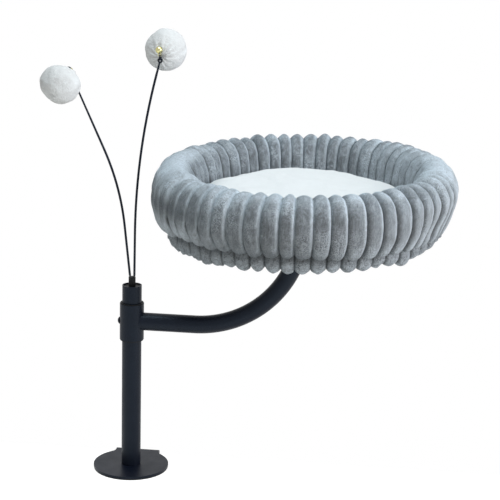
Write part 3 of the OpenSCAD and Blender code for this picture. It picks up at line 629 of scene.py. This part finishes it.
def brush_bolster(roll, up, out, fade, left_crown, right_crown, notch):
    """Painted light on the bolster's pile: a painted highlight on the lit flank of each rib, painted shade
    on the other flank, further painted highlights and shade in places, and its crushed places.
    """
    cos, sin, side, across, rng = roll.cos, roll.sin, roll.lit_side, roll.across, roll.rng
    outer = step(out, 0.5, 0.8)
    inside = step(0.5 - out, 0, 0.3) * step(sin, -0.2, 0.3)
    low_left = roll.near(214, 0.1)
    tips = hill(up, 0.07, 0.1) * step(out, 0.5, 0.9)
    tips = tips * roll.per_rib(np.clip(rng.uniform(-0.3, 1, roll.ribs), 0, 1))
    tips = np.maximum(tips, 2.1 * low_left * hill(up, 0.17, 0.19) * step(out, 0.6, 0.8))
    # Painted highlight on the lit flank of each rib, at the front right into the groove and left of the
    # middle on the other side too; painted shade on the unlit flank, in the grooves and between the lobes
    # low on the left
    frontal = step(-sin, 0.25, 0.7) * step(out, 0.4, 0.7)
    front_left = frontal * step(0.45 - cos, 0, 0.5)
    groove = step(across, 0.9, 0.98) * fade
    groove = groove * (1 - 0.9 * np.where(side > 0, frontal, front_left))
    pale = step(side, 0.2 + 0.06 * frontal, 0.34 + 0.04 * frontal)
    pale = np.maximum(pale, 0.9 * front_left * step(-side, 0.45, 0.48))
    pale = pale * fade * (1 - groove) * (1 - 0.4 * inside)
    flank = step(-side, 0.34 - 0.24 * step(cos, 0, 0.4), 0.47) * fade * (1 - 0.5 * inside)
    flank = flank * (1 - 0.7 * front_left)
    wedge = low_left * step(0.42 - up, 0, 0.15) * step(out, 0.6, 0.85)
    flank = np.maximum(flank, 1.4 * step(-side, 0.08, 0.36) * wedge)
    # Painted highlight on the crown at both ends, on the ribs' caps, inside on the right and on the right
    # side
    painted_highlight = np.maximum(left_crown, 0.9 * right_crown)
    caps = roll.per_rib(rng.uniform(0.25, 0.75, roll.ribs)) * step(-sin, -0.1, 0.4) * step(up, 0.84, 0.97)
    painted_highlight = np.maximum(painted_highlight, caps)
    painted_highlight = np.maximum(painted_highlight, 0.5 * inside * step(cos, 0.35, 0.75))
    right_side = step(cos, 0.2, 0.9) * step(out, 0.5, 0.9) * step(0.95 - up, 0, 0.3)
    painted_highlight = np.maximum(painted_highlight, 0.95 * right_side)
    roll.store("pale", np.maximum(pale, np.maximum(0.6 * tips, painted_highlight) * (1 - flank) * (1 - groove)))
    roll.store("flank", np.maximum(flank, groove))
    # Painted shade below, inside at the back, along the front and on the left part of each front rib's face,
    # in a patch low on the left and its grooves, and under the ribs' tips
    shade = np.maximum(step(0.22 - up, 0, 0.22), 0.3 * step(0.45 - out, 0, 0.4) * step(sin, -0.3, 0.5))
    shade = np.maximum(shade, 0.55 * step(-sin, 0.3, 0.85) * outer * step(0.7 - up, 0, 0.4))
    outside = step(out, 0.5, 0.7)
    shade = shade * (1 - step(cos, 0.1, 0.6) * outside) * (1 - 0.8 * low_left * outside)
    shade = np.maximum(shade, 1.1 * low_left * hill(up, 0.52, 0.17) * step(out, 0.6, 0.85))
    ends = roll.near(215, 0.2) * step(0.5 - up, 0, 0.2)
    shade = np.maximum(shade, 1.5 * ends * step(across, 0.7, 0.95) * outer)
    middle_height = step(up, 0.1, 0.3) * step(0.86 - up, 0, 0.16)
    shade = np.maximum(shade, 0.5 * frontal * (1 - step(side, 0.16, 0.3)) * middle_height)
    roll.store("underside", np.maximum(shade, 1.6 * notch * across ** 3))
    roll.store("crushed", roll.near(283, 0.03) * step(0.66 - up, 0, 0.3) * outer)


def build_base(sizes):
    """Padded cover of the board: a flat top and a ribbed roll that hangs around the board's edge."""
    outer = BED.x - BASE_LOW.x
    inner = outer - BASE_ROLL_WIDTH
    low, top = BASE_LOW.z, BASE_HIGH.z
    rim = top - 6.4 * MM
    deck = top - 6 * MM
    corners = [(0, deck), (0.3 * inner, deck), (0.7 * inner, deck), (0.96 * inner, deck),
               (inner, deck - 2 * MM), (inner, low + 0.45 * (rim - low)), (inner + 3 * MM, low + 2 * MM),
               (inner + 7.5 * MM, low), (outer - 2 * MM, low + 5 * MM), (outer, low + 0.5 * (rim - low)),
               (outer - 1.5 * MM, rim - 2 * MM), (outer - 6 * MM, rim + 0.8 * MM),
               (0.86 * inner, top - 0.6 * MM), (0.6 * inner, top), (0.25 * inner, top), (0, top)]

    def denser_on_roll(points):
        return np.where(points[:, 0] > 0.97 * inner, 1.0, 0.12)

    line = smooth_line(corners, SECTION_POINTS, False, denser_on_roll)
    line[:, 1] = np.clip(line[:, 1], low, top)
    roll = Roll("base_plush", line, False, sizes.ribs, BASE_SEED)
    r, z, cos, across, side, rng = roll.r, roll.z, roll.cos, roll.across, roll.lit_side, roll.rng
    drop = (rim - z) / (rim - low)
    dip = 1 - np.sqrt(np.clip(1 - np.minimum(across, 1) ** 1.7, 0, 1))
    hang = step(r, inner + 0.3 * MM, inner + 3 * MM)
    tip = step(drop, 0.35, 0.95) * hang
    left = step(-cos, 0.1, 0.75)
    right = step(cos, 0.25, 0.7)
    swing = np.clip(1 + 0.2 * roll.per_rib(rng.standard_normal(roll.ribs)), 0.6, 1.5)
    sink = sizes.base_rib_depth * swing * dip * hang * (1 - 0.4 * left)
    swell = roll.ripple(scale=40, seed=5) * MM * hang
    fine = roll.ripple(scale=110, seed=7) * 1.1 + roll.ripple(scale=230, seed=6) * 0.5
    fine = fine * MM * hang * (1 + 1.2 * left)
    push = -sink + swell + fine
    r, z = r + roll.normal_r * push, z + roll.normal_z * push
    # The roll hangs lower on the left, is drawn up on the right, and ends in a lobe below each rib
    r = r + 5 * MM * step(cos, 0.5, 0.85) * step(r, inner + 4 * MM, outer - 2 * MM)
    slant = 0.5 * np.minimum(cos, 0) + 0.45 * np.maximum(cos, 0) + 1.2 * step(cos, 0.78, 1.0)
    lift = sizes.slant * slant + roll.per_rib(rng.normal(0, 0.9 * MM, roll.ribs))
    lift = lift + (1.6 * left + right - 0.5) * MM
    lobes = 2.8 * MM * across ** 1.4 * tip * (1 - 0.6 * left - 0.5 * right)
    z = z + lift * step((rim - z) / (rim - low), 0.1, 1.0) + lobes
    roll.place(r, z)
    # Painted highlight on the lit flank of each rib together with paler pile on some ribs; painted shade on
    # the other flank, in the grooves, towards the left and most under the bolster's overhang; crushed specks
    # on the hanging roll
    flank = np.maximum(step(-side, 0.32, 0.45), step(across, 0.76, 0.96)) * (1 - 0.4 * left)
    brushed = roll.per_rib(np.clip(rng.uniform(-0.4, 0.5, roll.ribs), 0, 1))
    brushed = np.maximum(brushed, np.clip(3 * roll.ripple(scale=260, seed=8), 0, 0.7))
    roll.store("pale", np.maximum(0.45 * step(side, 0.25, 0.37), brushed) * (1 - flank) * hang)
    roll.store("flank", flank * hang)
    shade = 0.3 + 0.7 * step(z, rim - 21 * MM, rim - 11 * MM) * (1 - 0.7 * right)
    roll.store("underside", shade + 0.4 * across ** 4 * hang + 0.2 * left)
    roll.store("crushed", hang)
    return roll.close()


def stuff(piece, voxel, pressure, cap, frames):
    """Swells a closed shape as a filling does, and moves no point further than cap."""
    piece.data.remesh_voxel_size = voxel
    bpy.ops.object.voxel_remesh()
    before = points_of(piece)
    cloth = piece.modifiers.new("Cloth", "CLOTH")
    cloth.settings.use_pressure = True
    cloth.settings.uniform_pressure_force = pressure
    cloth.settings.effector_weights.gravity = 0
    cloth.settings.quality = 5
    cloth.collision_settings.use_collision = False
    cloth.point_cache.frame_start = 1
    cloth.point_cache.frame_end = frames
    scene = bpy.context.scene
    for number in range(1, frames + 1):
        scene.frame_set(number)
    shaped = piece.evaluated_get(bpy.context.evaluated_depsgraph_get())
    after = np.zeros(len(before) * 3)
    shaped.data.vertices.foreach_get("co", after)
    piece.modifiers.remove(cloth)
    scene.frame_set(1)
    move = after.reshape(-1, 3) - before
    length = np.linalg.norm(move, axis=1, keepdims=True)
    set_points(piece, before + move * np.minimum(1, cap / np.maximum(length, 1e-9)))


# The pillow before stuffing: its radius and half its height, in radii and heights of the pad, and puckers
PILLOW_RADIUS, PILLOW_HALF, PUCKERS = 0.95, 0.36, 15
PAD_GAP = 1.2 * MM


def build_seat_pad(sizes):
    """Loose round pad: stuffed by simulation, then fitted to its place inside the bolster."""
    radius = (PAD_HIGH.x - PAD_LOW.x) / 2
    height = PAD_HIGH.z - PAD_LOW.z
    centre = middle("seat_pad")
    bpy.ops.mesh.primitive_uv_sphere_add(segments=96, ring_count=40, radius=1, location=(0, 0, 0))
    piece = fresh("seat_pad_plush")
    p = points_of(piece)
    around = np.arctan2(p[:, 1], p[:, 0])
    reach = np.linalg.norm(p[:, :2], axis=1)
    bulge = np.sign(p[:, 2]) * np.abs(p[:, 2]) ** 0.62
    slack = 1 - 0.014 * np.cos(PUCKERS * around) * reach ** 3
    flat = p[:, :2] * PILLOW_RADIUS * radius * slack[:, None]
    p = np.column_stack([flat, bulge * (PILLOW_HALF * height)])
    p += np.array(centre)
    set_points(piece, p)
    stuff(piece, voxel=4.5 * MM, pressure=4.0, cap=sizes.pad_swell, frames=20)
    apply_modifier(piece, "SMOOTH", iterations=6)
    # Fit into the space that the frame keeps for it, with a gap to the bolster
    p = points_of(piece)
    low, high = p.min(0), p.max(0)
    spread = np.array([PAD_LOW, PAD_HIGH])
    spread[:, :2] = spread[:, :2] + np.array([[PAD_GAP], [-PAD_GAP]])
    p = spread[0] + (p - low) / (high - low) * (spread[1] - spread[0])
    below = p[:, 2] < spread[0][2] + 0.12 * height
    p[below, 2] = spread[0][2] + 0.4 * (p[below, 2] - spread[0][2])
    set_points(piece, p)
    apply_modifier(piece, "SUBSURF", levels=1, render_levels=1)
    p = points_of(piece)
    away = p - np.array(centre)
    reach = np.linalg.norm(away[:, :2], axis=1)
    top = step(p[:, 2], centre.z - 0.1 * height, centre.z + 0.3 * height)
    dimple = ripple(p, scale=30, seed=21) * 1.6 * MM + ripple(p, scale=75, seed=22) * 0.7 * MM
    p[:, 2] += (dimple - 1.2 * MM) * top
    rim = step(reach, 0.72 * radius, 0.95 * radius)
    around = np.arctan2(away[:, 1], away[:, 0])
    ring = np.stack([np.cos(around), np.sin(around), 0 * reach], axis=1)
    crease = ripple(ring, scale=9, seed=23)
    p[:, 2] += rim * top * crease * 1.6 * MM
    p[:, 2] += (2 * MM + sizes.lean * 0.75 * away[:, 1] / radius) * top
    set_points(piece, p)
    # A darker tone all over the pad, with painted shade where its rim dips
    store(piece, "fold", 1.15 + 0.2 * np.clip(-crease, 0, 1) * rim)
    bpy.ops.object.shade_smooth()
    return piece


# Side, seed and dents of each ball: direction, depth in radii (below 0 it stands out), width in radians
BALLS = (
    ("left", 31, (((0.74, 0.2, 0.62), 0.055, 0.5), ((-0.66, -0.2, -0.72), 0.1, 0.6),
                  ((0.12, 0.2, 0.97), 0.085, 0.62), ((0.72, 0.24, 0.66), -0.05, 0.09))),
    ("right", 47, (((0.95, -0.1, 0.2), 0.03, 0.4), ((-0.7, 0.0, 0.6), 0.025, 0.4))),
)


def build_ball(name, node, tie, sizes, seed, dents):
    """Plush ball of gored cloth, gathered at the pole where it is tied, with its dents."""
    low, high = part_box(node)
    centre = (low + high) / 2
    pole = (middle(tie) - centre).normalized()
    radius = sum(high - low) / 6
    bpy.ops.mesh.primitive_uv_sphere_add(segments=168, ring_count=96, radius=1, location=(0, 0, 0))
    piece = fresh(name)
    p = points_of(piece)
    unit = p / np.linalg.norm(p, axis=1, keepdims=True)
    around = np.arctan2(unit[:, 1], unit[:, 0])
    polar = np.arccos(np.clip(unit[:, 2], -1, 1))
    rng = np.random.default_rng(seed)
    wander = 0.5 * np.sin(2 * around + rng.uniform(0, TAU)) + 0.35 * np.sin(3 * around + rng.uniform(0, TAU))
    waves = np.cos(sizes.folds * around + 1.6 * wander)
    crease = np.abs(waves) ** 0.6 * np.sign(waves)
    near = hill(polar, 0.12, 0.62)
    far = hill(polar, math.pi, 0.35)
    pinch = hill(polar, 0, 0.2)
    gores = -np.abs(np.cos(3 * around)) ** 14 * 0.014 * np.sin(polar)
    lumps = ripple(unit, 1.6, seed) * 0.026 + ripple(unit, 3.4, seed + 1) * 0.022
    pucker = ripple(unit, 11, seed + 2) * 0.009 * (0.4 + near)
    push = 0.02 * crease * near - 0.11 * pinch + 0.01 * crease * far + gores + lumps + pucker
    p = unit * (1 + push)[:, None] * radius
    turn = Vector((0, 0, 1)).rotation_difference(pole).to_matrix()
    p = p @ np.array(turn).T
    facing = p / np.linalg.norm(p, axis=1, keepdims=True)
    for direction, depth, width in dents:
        angle = np.arccos(np.clip(facing @ np.array(Vector(direction).normalized()), -1, 1))
        p = p * (1 - depth * hill(angle, 0, width))[:, None]
    set_points(piece, p + np.array(centre))
    # Painted shade by how the light falls: darker on top and a little darker at the very bottom, with
    # painted shade in the folds near the tie
    upward = facing[:, 2]
    facing_shade = 0.4 + 1.25 * step(upward, -0.4, 0.8) + 0.6 * step(-upward, 0.5, 1.0)
    store(piece, "fold", 0.25 * np.clip(-crease, 0, 1) * near + facing_shade)
    bpy.ops.object.shade_smooth()
    return piece


# Steps of the helix in each turn, the gap under the washer, and the riveted pin with its head
STEPS_A_TURN = 28
WASHER_GAP = 0.1 * MM
PIN_RADIUS = 3 * MM
RIVET_RADIUS, RIVET_HEIGHT = 5.3 * MM, 1.4 * MM


def build_thread(sizes):
    """Clamp screw with its rolled thread and the riveted pin above it."""
    axis = middle("clamp_screw")
    low, high = SCREW_LOW.z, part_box("thrust_washer")[0].z - WASHER_GAP
    major = (SCREW_HIGH.x - SCREW_LOW.x) / 2
    pitch = sizes.thread_pitch
    start = low - pitch
    # One pitch of the outline: a crest and the two flanks of a groove
    bpy.ops.mesh.primitive_plane_add(size=pitch, location=(0, 0, 0), rotation=(math.pi / 2, 0, 0))
    bpy.ops.object.transform_apply()
    piece = fresh("clamp_screw_thread")
    outline = [(major, 0), (major, 0.25 * pitch), (major - sizes.thread_depth, 0.62 * pitch), (major, pitch)]
    corners = sorted(piece.data.vertices, key=lambda v: math.atan2(v.co.z, v.co.x))
    for vertex, (r, climb) in zip(corners, outline):
        vertex.co = (r, 0, climb)
    mode("EDIT")
    bpy.ops.mesh.select_mode(type="EDGE")
    bpy.ops.mesh.select_all(action="DESELECT")
    mode("OBJECT")
    for line in piece.data.edges:
        ends = [piece.data.vertices[i].co for i in line.vertices]
        line.select = abs(ends[0].z - ends[1].z) > 0.99 * pitch
    mode("EDIT")
    bpy.ops.mesh.delete(type="EDGE")
    mode("OBJECT")
    turns = int((high - low) / pitch) + 3
    apply_modifier(piece, "SCREW", axis="Z", screw_offset=pitch, angle=TAU,
                   steps=STEPS_A_TURN, render_steps=STEPS_A_TURN, iterations=turns)
    bpy.ops.transform.translate(value=(axis.x, axis.y, start))
    bpy.ops.object.transform_apply()
    mode("EDIT")
    bpy.ops.mesh.select_mode(type="VERT")
    bpy.ops.mesh.select_all(action="SELECT")
    bpy.ops.mesh.remove_doubles(threshold=WELD)
    for cut, away in ((low, -1), (high, 1)):
        bpy.ops.mesh.bisect(plane_co=(0, 0, cut), plane_no=(0, 0, away), use_fill=True, clear_outer=True)
        bpy.ops.mesh.select_all(action="SELECT")
    bpy.ops.mesh.normals_make_consistent()
    mode("OBJECT")
    bpy.ops.object.shade_smooth_by_angle(angle=SHARP)
    head = SCREW_HIGH.z - RIVET_HEIGHT
    pieces = [piece]
    for name, radius, foot, top in (
            ("rivet_pin", PIN_RADIUS, high, head), ("rivet_head", RIVET_RADIUS, head, SCREW_HIGH.z)):
        bpy.ops.mesh.primitive_cylinder_add(vertices=40, radius=radius, depth=top - foot,
                                            location=(axis.x, axis.y, (foot + top) / 2))
        bpy.ops.object.transform_apply()
        part = fresh(name)
        edit(lambda: bpy.ops.mesh.bevel(offset=0.25 * MM, segments=2, affect="EDGES"))
        bpy.ops.object.shade_smooth_by_angle(angle=SHARP)
        pieces.append(part)
    return pieces


def build_staples(sizes):
    """Staples around the cloth under the board: one is modelled and the others are copies."""
    low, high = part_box("underside_cloth")
    centre = (low + high) / 2
    inset, wire, crown, leg = 7 * MM, 1.1 * MM, 8 * MM, 0.9 * MM
    ring = (high.x - low.x) / 2 - inset
    bpy.ops.mesh.primitive_cube_add(size=1, location=(centre.x + ring, centre.y, low.z - 0.2 * MM),
                                    scale=(wire, crown, 0.5 * wire))
    bpy.ops.object.transform_apply()
    piece = fresh("cloth_staples")

    def pick(test):
        bpy.ops.mesh.select_all(action="DESELECT")
        mode("OBJECT")
        for face in piece.data.polygons:
            face.select = test(face)
        mode("EDIT")

    mode("EDIT")
    bpy.ops.mesh.select_mode(type="FACE")
    for side in (-1, 1):
        pick(lambda face: face.normal.y * side > 0.9)
        bpy.ops.mesh.extrude_region_move(TRANSFORM_OT_translate={"value": (0, side * wire, 0)})
    pick(lambda face: face.normal.z > 0.9 and abs(face.center.y - centre.y) > crown / 2)
    bpy.ops.mesh.extrude_region_move(TRANSFORM_OT_translate={"value": (0, 0, leg)})
    bpy.ops.mesh.select_all(action="SELECT")
    bpy.ops.mesh.bevel(offset=0.12 * MM, segments=2, affect="EDGES")
    mode("OBJECT")
    bpy.ops.object.shade_smooth_by_angle(angle=SHARP)
    copies = [piece]
    for number in range(1, sizes.staples):
        only(piece)
        bpy.ops.object.duplicate()
        bpy.ops.transform.rotate(value=TAU * number / sizes.staples, orient_axis="Z", center_override=centre)
        copies.append(bpy.context.object)
    for one in copies:
        one.select_set(True)
    bpy.context.view_layer.objects.active = piece
    bpy.ops.object.join()
    bpy.ops.object.transform_apply()
    return piece


# Operators

class CATBED_OT_metalwork(bpy.types.Operator):
    """Give every carried-over piece its finish"""

    bl_idname = "catbed.metalwork"
    bl_label = "Finish the frame"

    def execute(self, context):
        for entry in frame["record"]["subparts"]:
            piece = frame["nodes"][entry["node"]]
            material = finish(entry["material_slot"])
            for place in piece.material_slots:
                place.material = material
            if not piece.material_slots:
                piece.data.materials.append(material)
        return {"FINISHED"}


class CATBED_OT_bolster(bpy.types.Operator):
    """Make the ribbed plush bolster"""

    bl_idname = "catbed.bolster"
    bl_label = "Bolster"

    def execute(self, context):
        piece = build_bolster(context.scene.cat_bed.sizes)
        finish_piece(piece, "grey_plush", "arm")
        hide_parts("bolster")
        return {"FINISHED"}


class CATBED_OT_base(bpy.types.Operator):
    """Make the padded cover of the board with its ribbed roll"""

    bl_idname = "catbed.base"
    bl_label = "Base"

    def execute(self, context):
        piece = build_base(context.scene.cat_bed.sizes)
        finish_piece(piece, "grey_plush", "arm")
        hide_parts("bed_base")
        return {"FINISHED"}


class CATBED_OT_seat_pad(bpy.types.Operator):
    """Make the loose white seat pad"""

    bl_idname = "catbed.seat_pad"
    bl_label = "Seat pad"

    def execute(self, context):
        piece = build_seat_pad(context.scene.cat_bed.sizes)
        finish_piece(piece, "white_plush", "arm")
        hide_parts("seat_pad")
        return {"FINISHED"}


class CATBED_OT_balls(bpy.types.Operator):
    """Make the two white plush balls"""

    bl_idname = "catbed.balls"
    bl_label = "Plush balls"

    def execute(self, context):
        sizes = context.scene.cat_bed.sizes
        for side, seed, dents in BALLS:
            piece = build_ball(f"pompom_{side}_plush", f"pompom_{side}", f"tie_{side}", sizes, seed, dents)
            finish_piece(piece, "white_plush", f"toy_{side}")
            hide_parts(f"pompom_{side}")
        return {"FINISHED"}


class CATBED_OT_thread(bpy.types.Operator):
    """Cut the clamp screw's thread"""

    bl_idname = "catbed.thread"
    bl_label = "Clamp screw"

    def execute(self, context):
        pieces = build_thread(context.scene.cat_bed.sizes)
        for piece in pieces:
            finish_piece(piece, "zinc_plated_steel", "clamp_spindle")
        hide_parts("clamp_screw")
        return {"FINISHED"}


class CATBED_OT_staples(bpy.types.Operator):
    """Staple the cloth under the board"""

    bl_idname = "catbed.staples"
    bl_label = "Staples"

    def execute(self, context):
        finish_piece(build_staples(context.scene.cat_bed.sizes), "zinc_plated_steel", "arm")
        return {"FINISHED"}


# Stage

CAMERA_PLACE = (0.33917, -1.77352, 0.74631)
CAMERA_RIGHT = (0.99339, 0.11197, 0.02530)
CAMERA_UP = (-0.05148, 0.23759, 0.97000)
CAMERA_FORWARD = (-0.10260, 0.96489, -0.24178)
CAMERA_LENS = 104.98
SENSOR_WIDTH = 36
DESK_THICKNESS = 25 * MM
DESK_LEFT, DESK_RIGHT, DESK_FRONT = -1.2, 1.6, -2.6
FLANGE_SHEET, EDGE_GAP = 3 * MM, 0.3 * MM
DESK_GLOW, AMBIENT = 0.66, 0.32
WARM_WHITE = (1.0, 0.985, 0.97)

# Name, place, what it points at, diameter, power and colour
LIGHTS = (
    ("Top softbox", (0.25, -0.2, 2.1), (0.15, 0, 0.3), 1.3, 33, (0.8, 0.94, 1.0)),
    ("Right softbox", (1.9, -0.7, 1.0), (0.15, 0, 0.35), 1.2, 26, (0.96, 0.96, 1.0)),
    ("Left fill", (-1.8, -1.0, 1.2), (0.15, 0, 0.3), 1.4, 0.5, WARM_WHITE),
)


def set_camera(scene):
    """The camera that was fitted to the photo."""
    data = bpy.data.cameras.new("Photo camera")
    data.lens, data.sensor_width, data.sensor_fit = CAMERA_LENS, SENSOR_WIDTH, "HORIZONTAL"
    data.clip_start, data.clip_end = 0.05, 50
    camera = bpy.data.objects.new("Photo camera", data)
    scene.collection.objects.link(camera)
    axes = Matrix((CAMERA_RIGHT, CAMERA_UP, [-v for v in CAMERA_FORWARD])).transposed()
    camera.matrix_world = Matrix.Translation(CAMERA_PLACE) @ axes.to_4x4()
    scene.camera = camera
    scene.view_settings.view_transform = "Standard"


def set_lights(scene):
    for name, place, aim, size, power, tint in LIGHTS:
        light = bpy.data.lights.new(name, "AREA")
        light.color = tint
        light.shape, light.size, light.energy = "DISK", size, power
        lamp = bpy.data.objects.new(name, light)
        scene.collection.objects.link(lamp)
        lamp.location = place
        lamp.rotation_euler = (Vector(aim) - Vector(place)).to_track_quat("-Z", "Y").to_euler()


def seen(tree):
    """1 for what the camera sees directly, as a reflection or through something clear, and 0 for light."""
    path = tree.nodes.new("ShaderNodeLightPath")
    found = path.outputs["Is Camera Ray"]
    for kind in ("Is Glossy Ray", "Is Transmission Ray"):
        either = tree.nodes.new("ShaderNodeMath")
        either.operation = "MAXIMUM"
        tree.links.new(found, either.inputs[0])
        tree.links.new(path.outputs[kind], either.inputs[1])
        found = either.outputs["Value"]
    return found


def set_world(scene):
    """White where it is seen, and a soft warm light on the pieces."""
    world = bpy.data.worlds.new("Studio")
    scene.world = world
    world.use_nodes = True
    tree = world.node_tree
    tree.nodes.clear()
    mix = tree.nodes.new("ShaderNodeMixShader")
    tree.links.new(seen(tree), mix.inputs[0])
    for place, colour, strength in ((1, (*WARM_WHITE, 1), AMBIENT), (2, (1, 1, 1, 1), 1)):
        sky = tree.nodes.new("ShaderNodeBackground")
        sky.inputs["Color"].default_value = colour
        sky.inputs["Strength"].default_value = strength
        tree.links.new(sky.outputs["Background"], mix.inputs[place])
    out = tree.nodes.new("ShaderNodeOutputWorld")
    tree.links.new(mix.outputs["Shader"], out.inputs["Surface"])


def desk_finish(colours):
    """Pale desk top that keeps its shadows and otherwise melts into the background."""
    f = Finish("pale_desk")
    patches = f.spread(f.noise(8, 3, 0.5), 0.3, 0.7, 0, 0.15)
    body = f.mix(patches, colours.floor, scaled(colours.floor, 0.96))
    f.set(Base_Color=body, Roughness=0.8, Specular_IOR_Level=0.1)
    glow = f.add("ShaderNodeEmission", Strength=f.times(seen(f.tree), DESK_GLOW))
    both = f.add("ShaderNodeAddShader")
    f.put(f.shader.outputs["BSDF"], both.inputs[0])
    f.put(glow.outputs["Emission"], both.inputs[1])
    f.put(both.outputs["Shader"], f.output.inputs["Surface"])
    return f.material


def lay_desk(colours):
    """The desk that the clamp grips. It ends a hair in front of the top plate's flange."""
    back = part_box("top_plate")[1].y - FLANGE_SHEET - EDGE_GAP
    low = Vector((DESK_LEFT, DESK_FRONT, -DESK_THICKNESS))
    high = Vector((DESK_RIGHT, back, 0))
    bpy.ops.mesh.primitive_cube_add(size=1, location=(low + high) / 2, scale=high - low)
    bpy.ops.object.transform_apply()
    desk = fresh("desk_top")
    edit(lambda: bpy.ops.mesh.bevel(offset=1.5 * MM, segments=3, affect="EDGES"))
    desk.data.materials.append(desk_finish(colours))


class CATBED_OT_stage(bpy.types.Operator):
    """Set the camera, the soft lights and the pale desk"""

    bl_idname = "catbed.stage"
    bl_label = "Stage"

    def execute(self, context):
        set_camera(context.scene)
        set_lights(context.scene)
        set_world(context.scene)
        lay_desk(context.scene.cat_bed.colours)
        return {"FINISHED"}


class CATBED_PT_panel(bpy.types.Panel):
    """Lists the pieces and their settings"""

    bl_idname = "CATBED_PT_panel"
    bl_label = "Cat bed"
    bl_space_type = "VIEW_3D"
    bl_region_type = "UI"
    bl_category = "Cat bed"

    def draw(self, context):
        layout = self.layout
        settings = context.scene.cat_bed
        for operator in OPERATORS:
            layout.operator(operator.bl_idname)
        for group in (settings.sizes, settings.colours):
            box = layout.box()
            for key in group.__annotations__:
                box.prop(group, key)


OPERATORS = (
    CATBED_OT_metalwork, CATBED_OT_bolster, CATBED_OT_base, CATBED_OT_seat_pad,
    CATBED_OT_balls, CATBED_OT_thread, CATBED_OT_staples, CATBED_OT_stage,
)
CLASSES = (CatBedSizes, CatBedColours, CatBedSettings, *OPERATORS, CATBED_PT_panel)


def register():
    for item in CLASSES:
        bpy.utils.register_class(item)
    bpy.types.Scene.cat_bed = bpy.props.PointerProperty(type=CatBedSettings)


def unregister():
    del bpy.types.Scene.cat_bed
    for item in reversed(CLASSES):
        bpy.utils.unregister_class(item)


def main():
    register()
    bpy.ops.catbed.stage()
    bpy.ops.catbed.metalwork()
    bpy.ops.catbed.bolster()
    bpy.ops.catbed.base()
    bpy.ops.catbed.seat_pad()
    bpy.ops.catbed.balls()
    bpy.ops.catbed.thread()
    bpy.ops.catbed.staples()


if __name__ == "__main__":
    main()
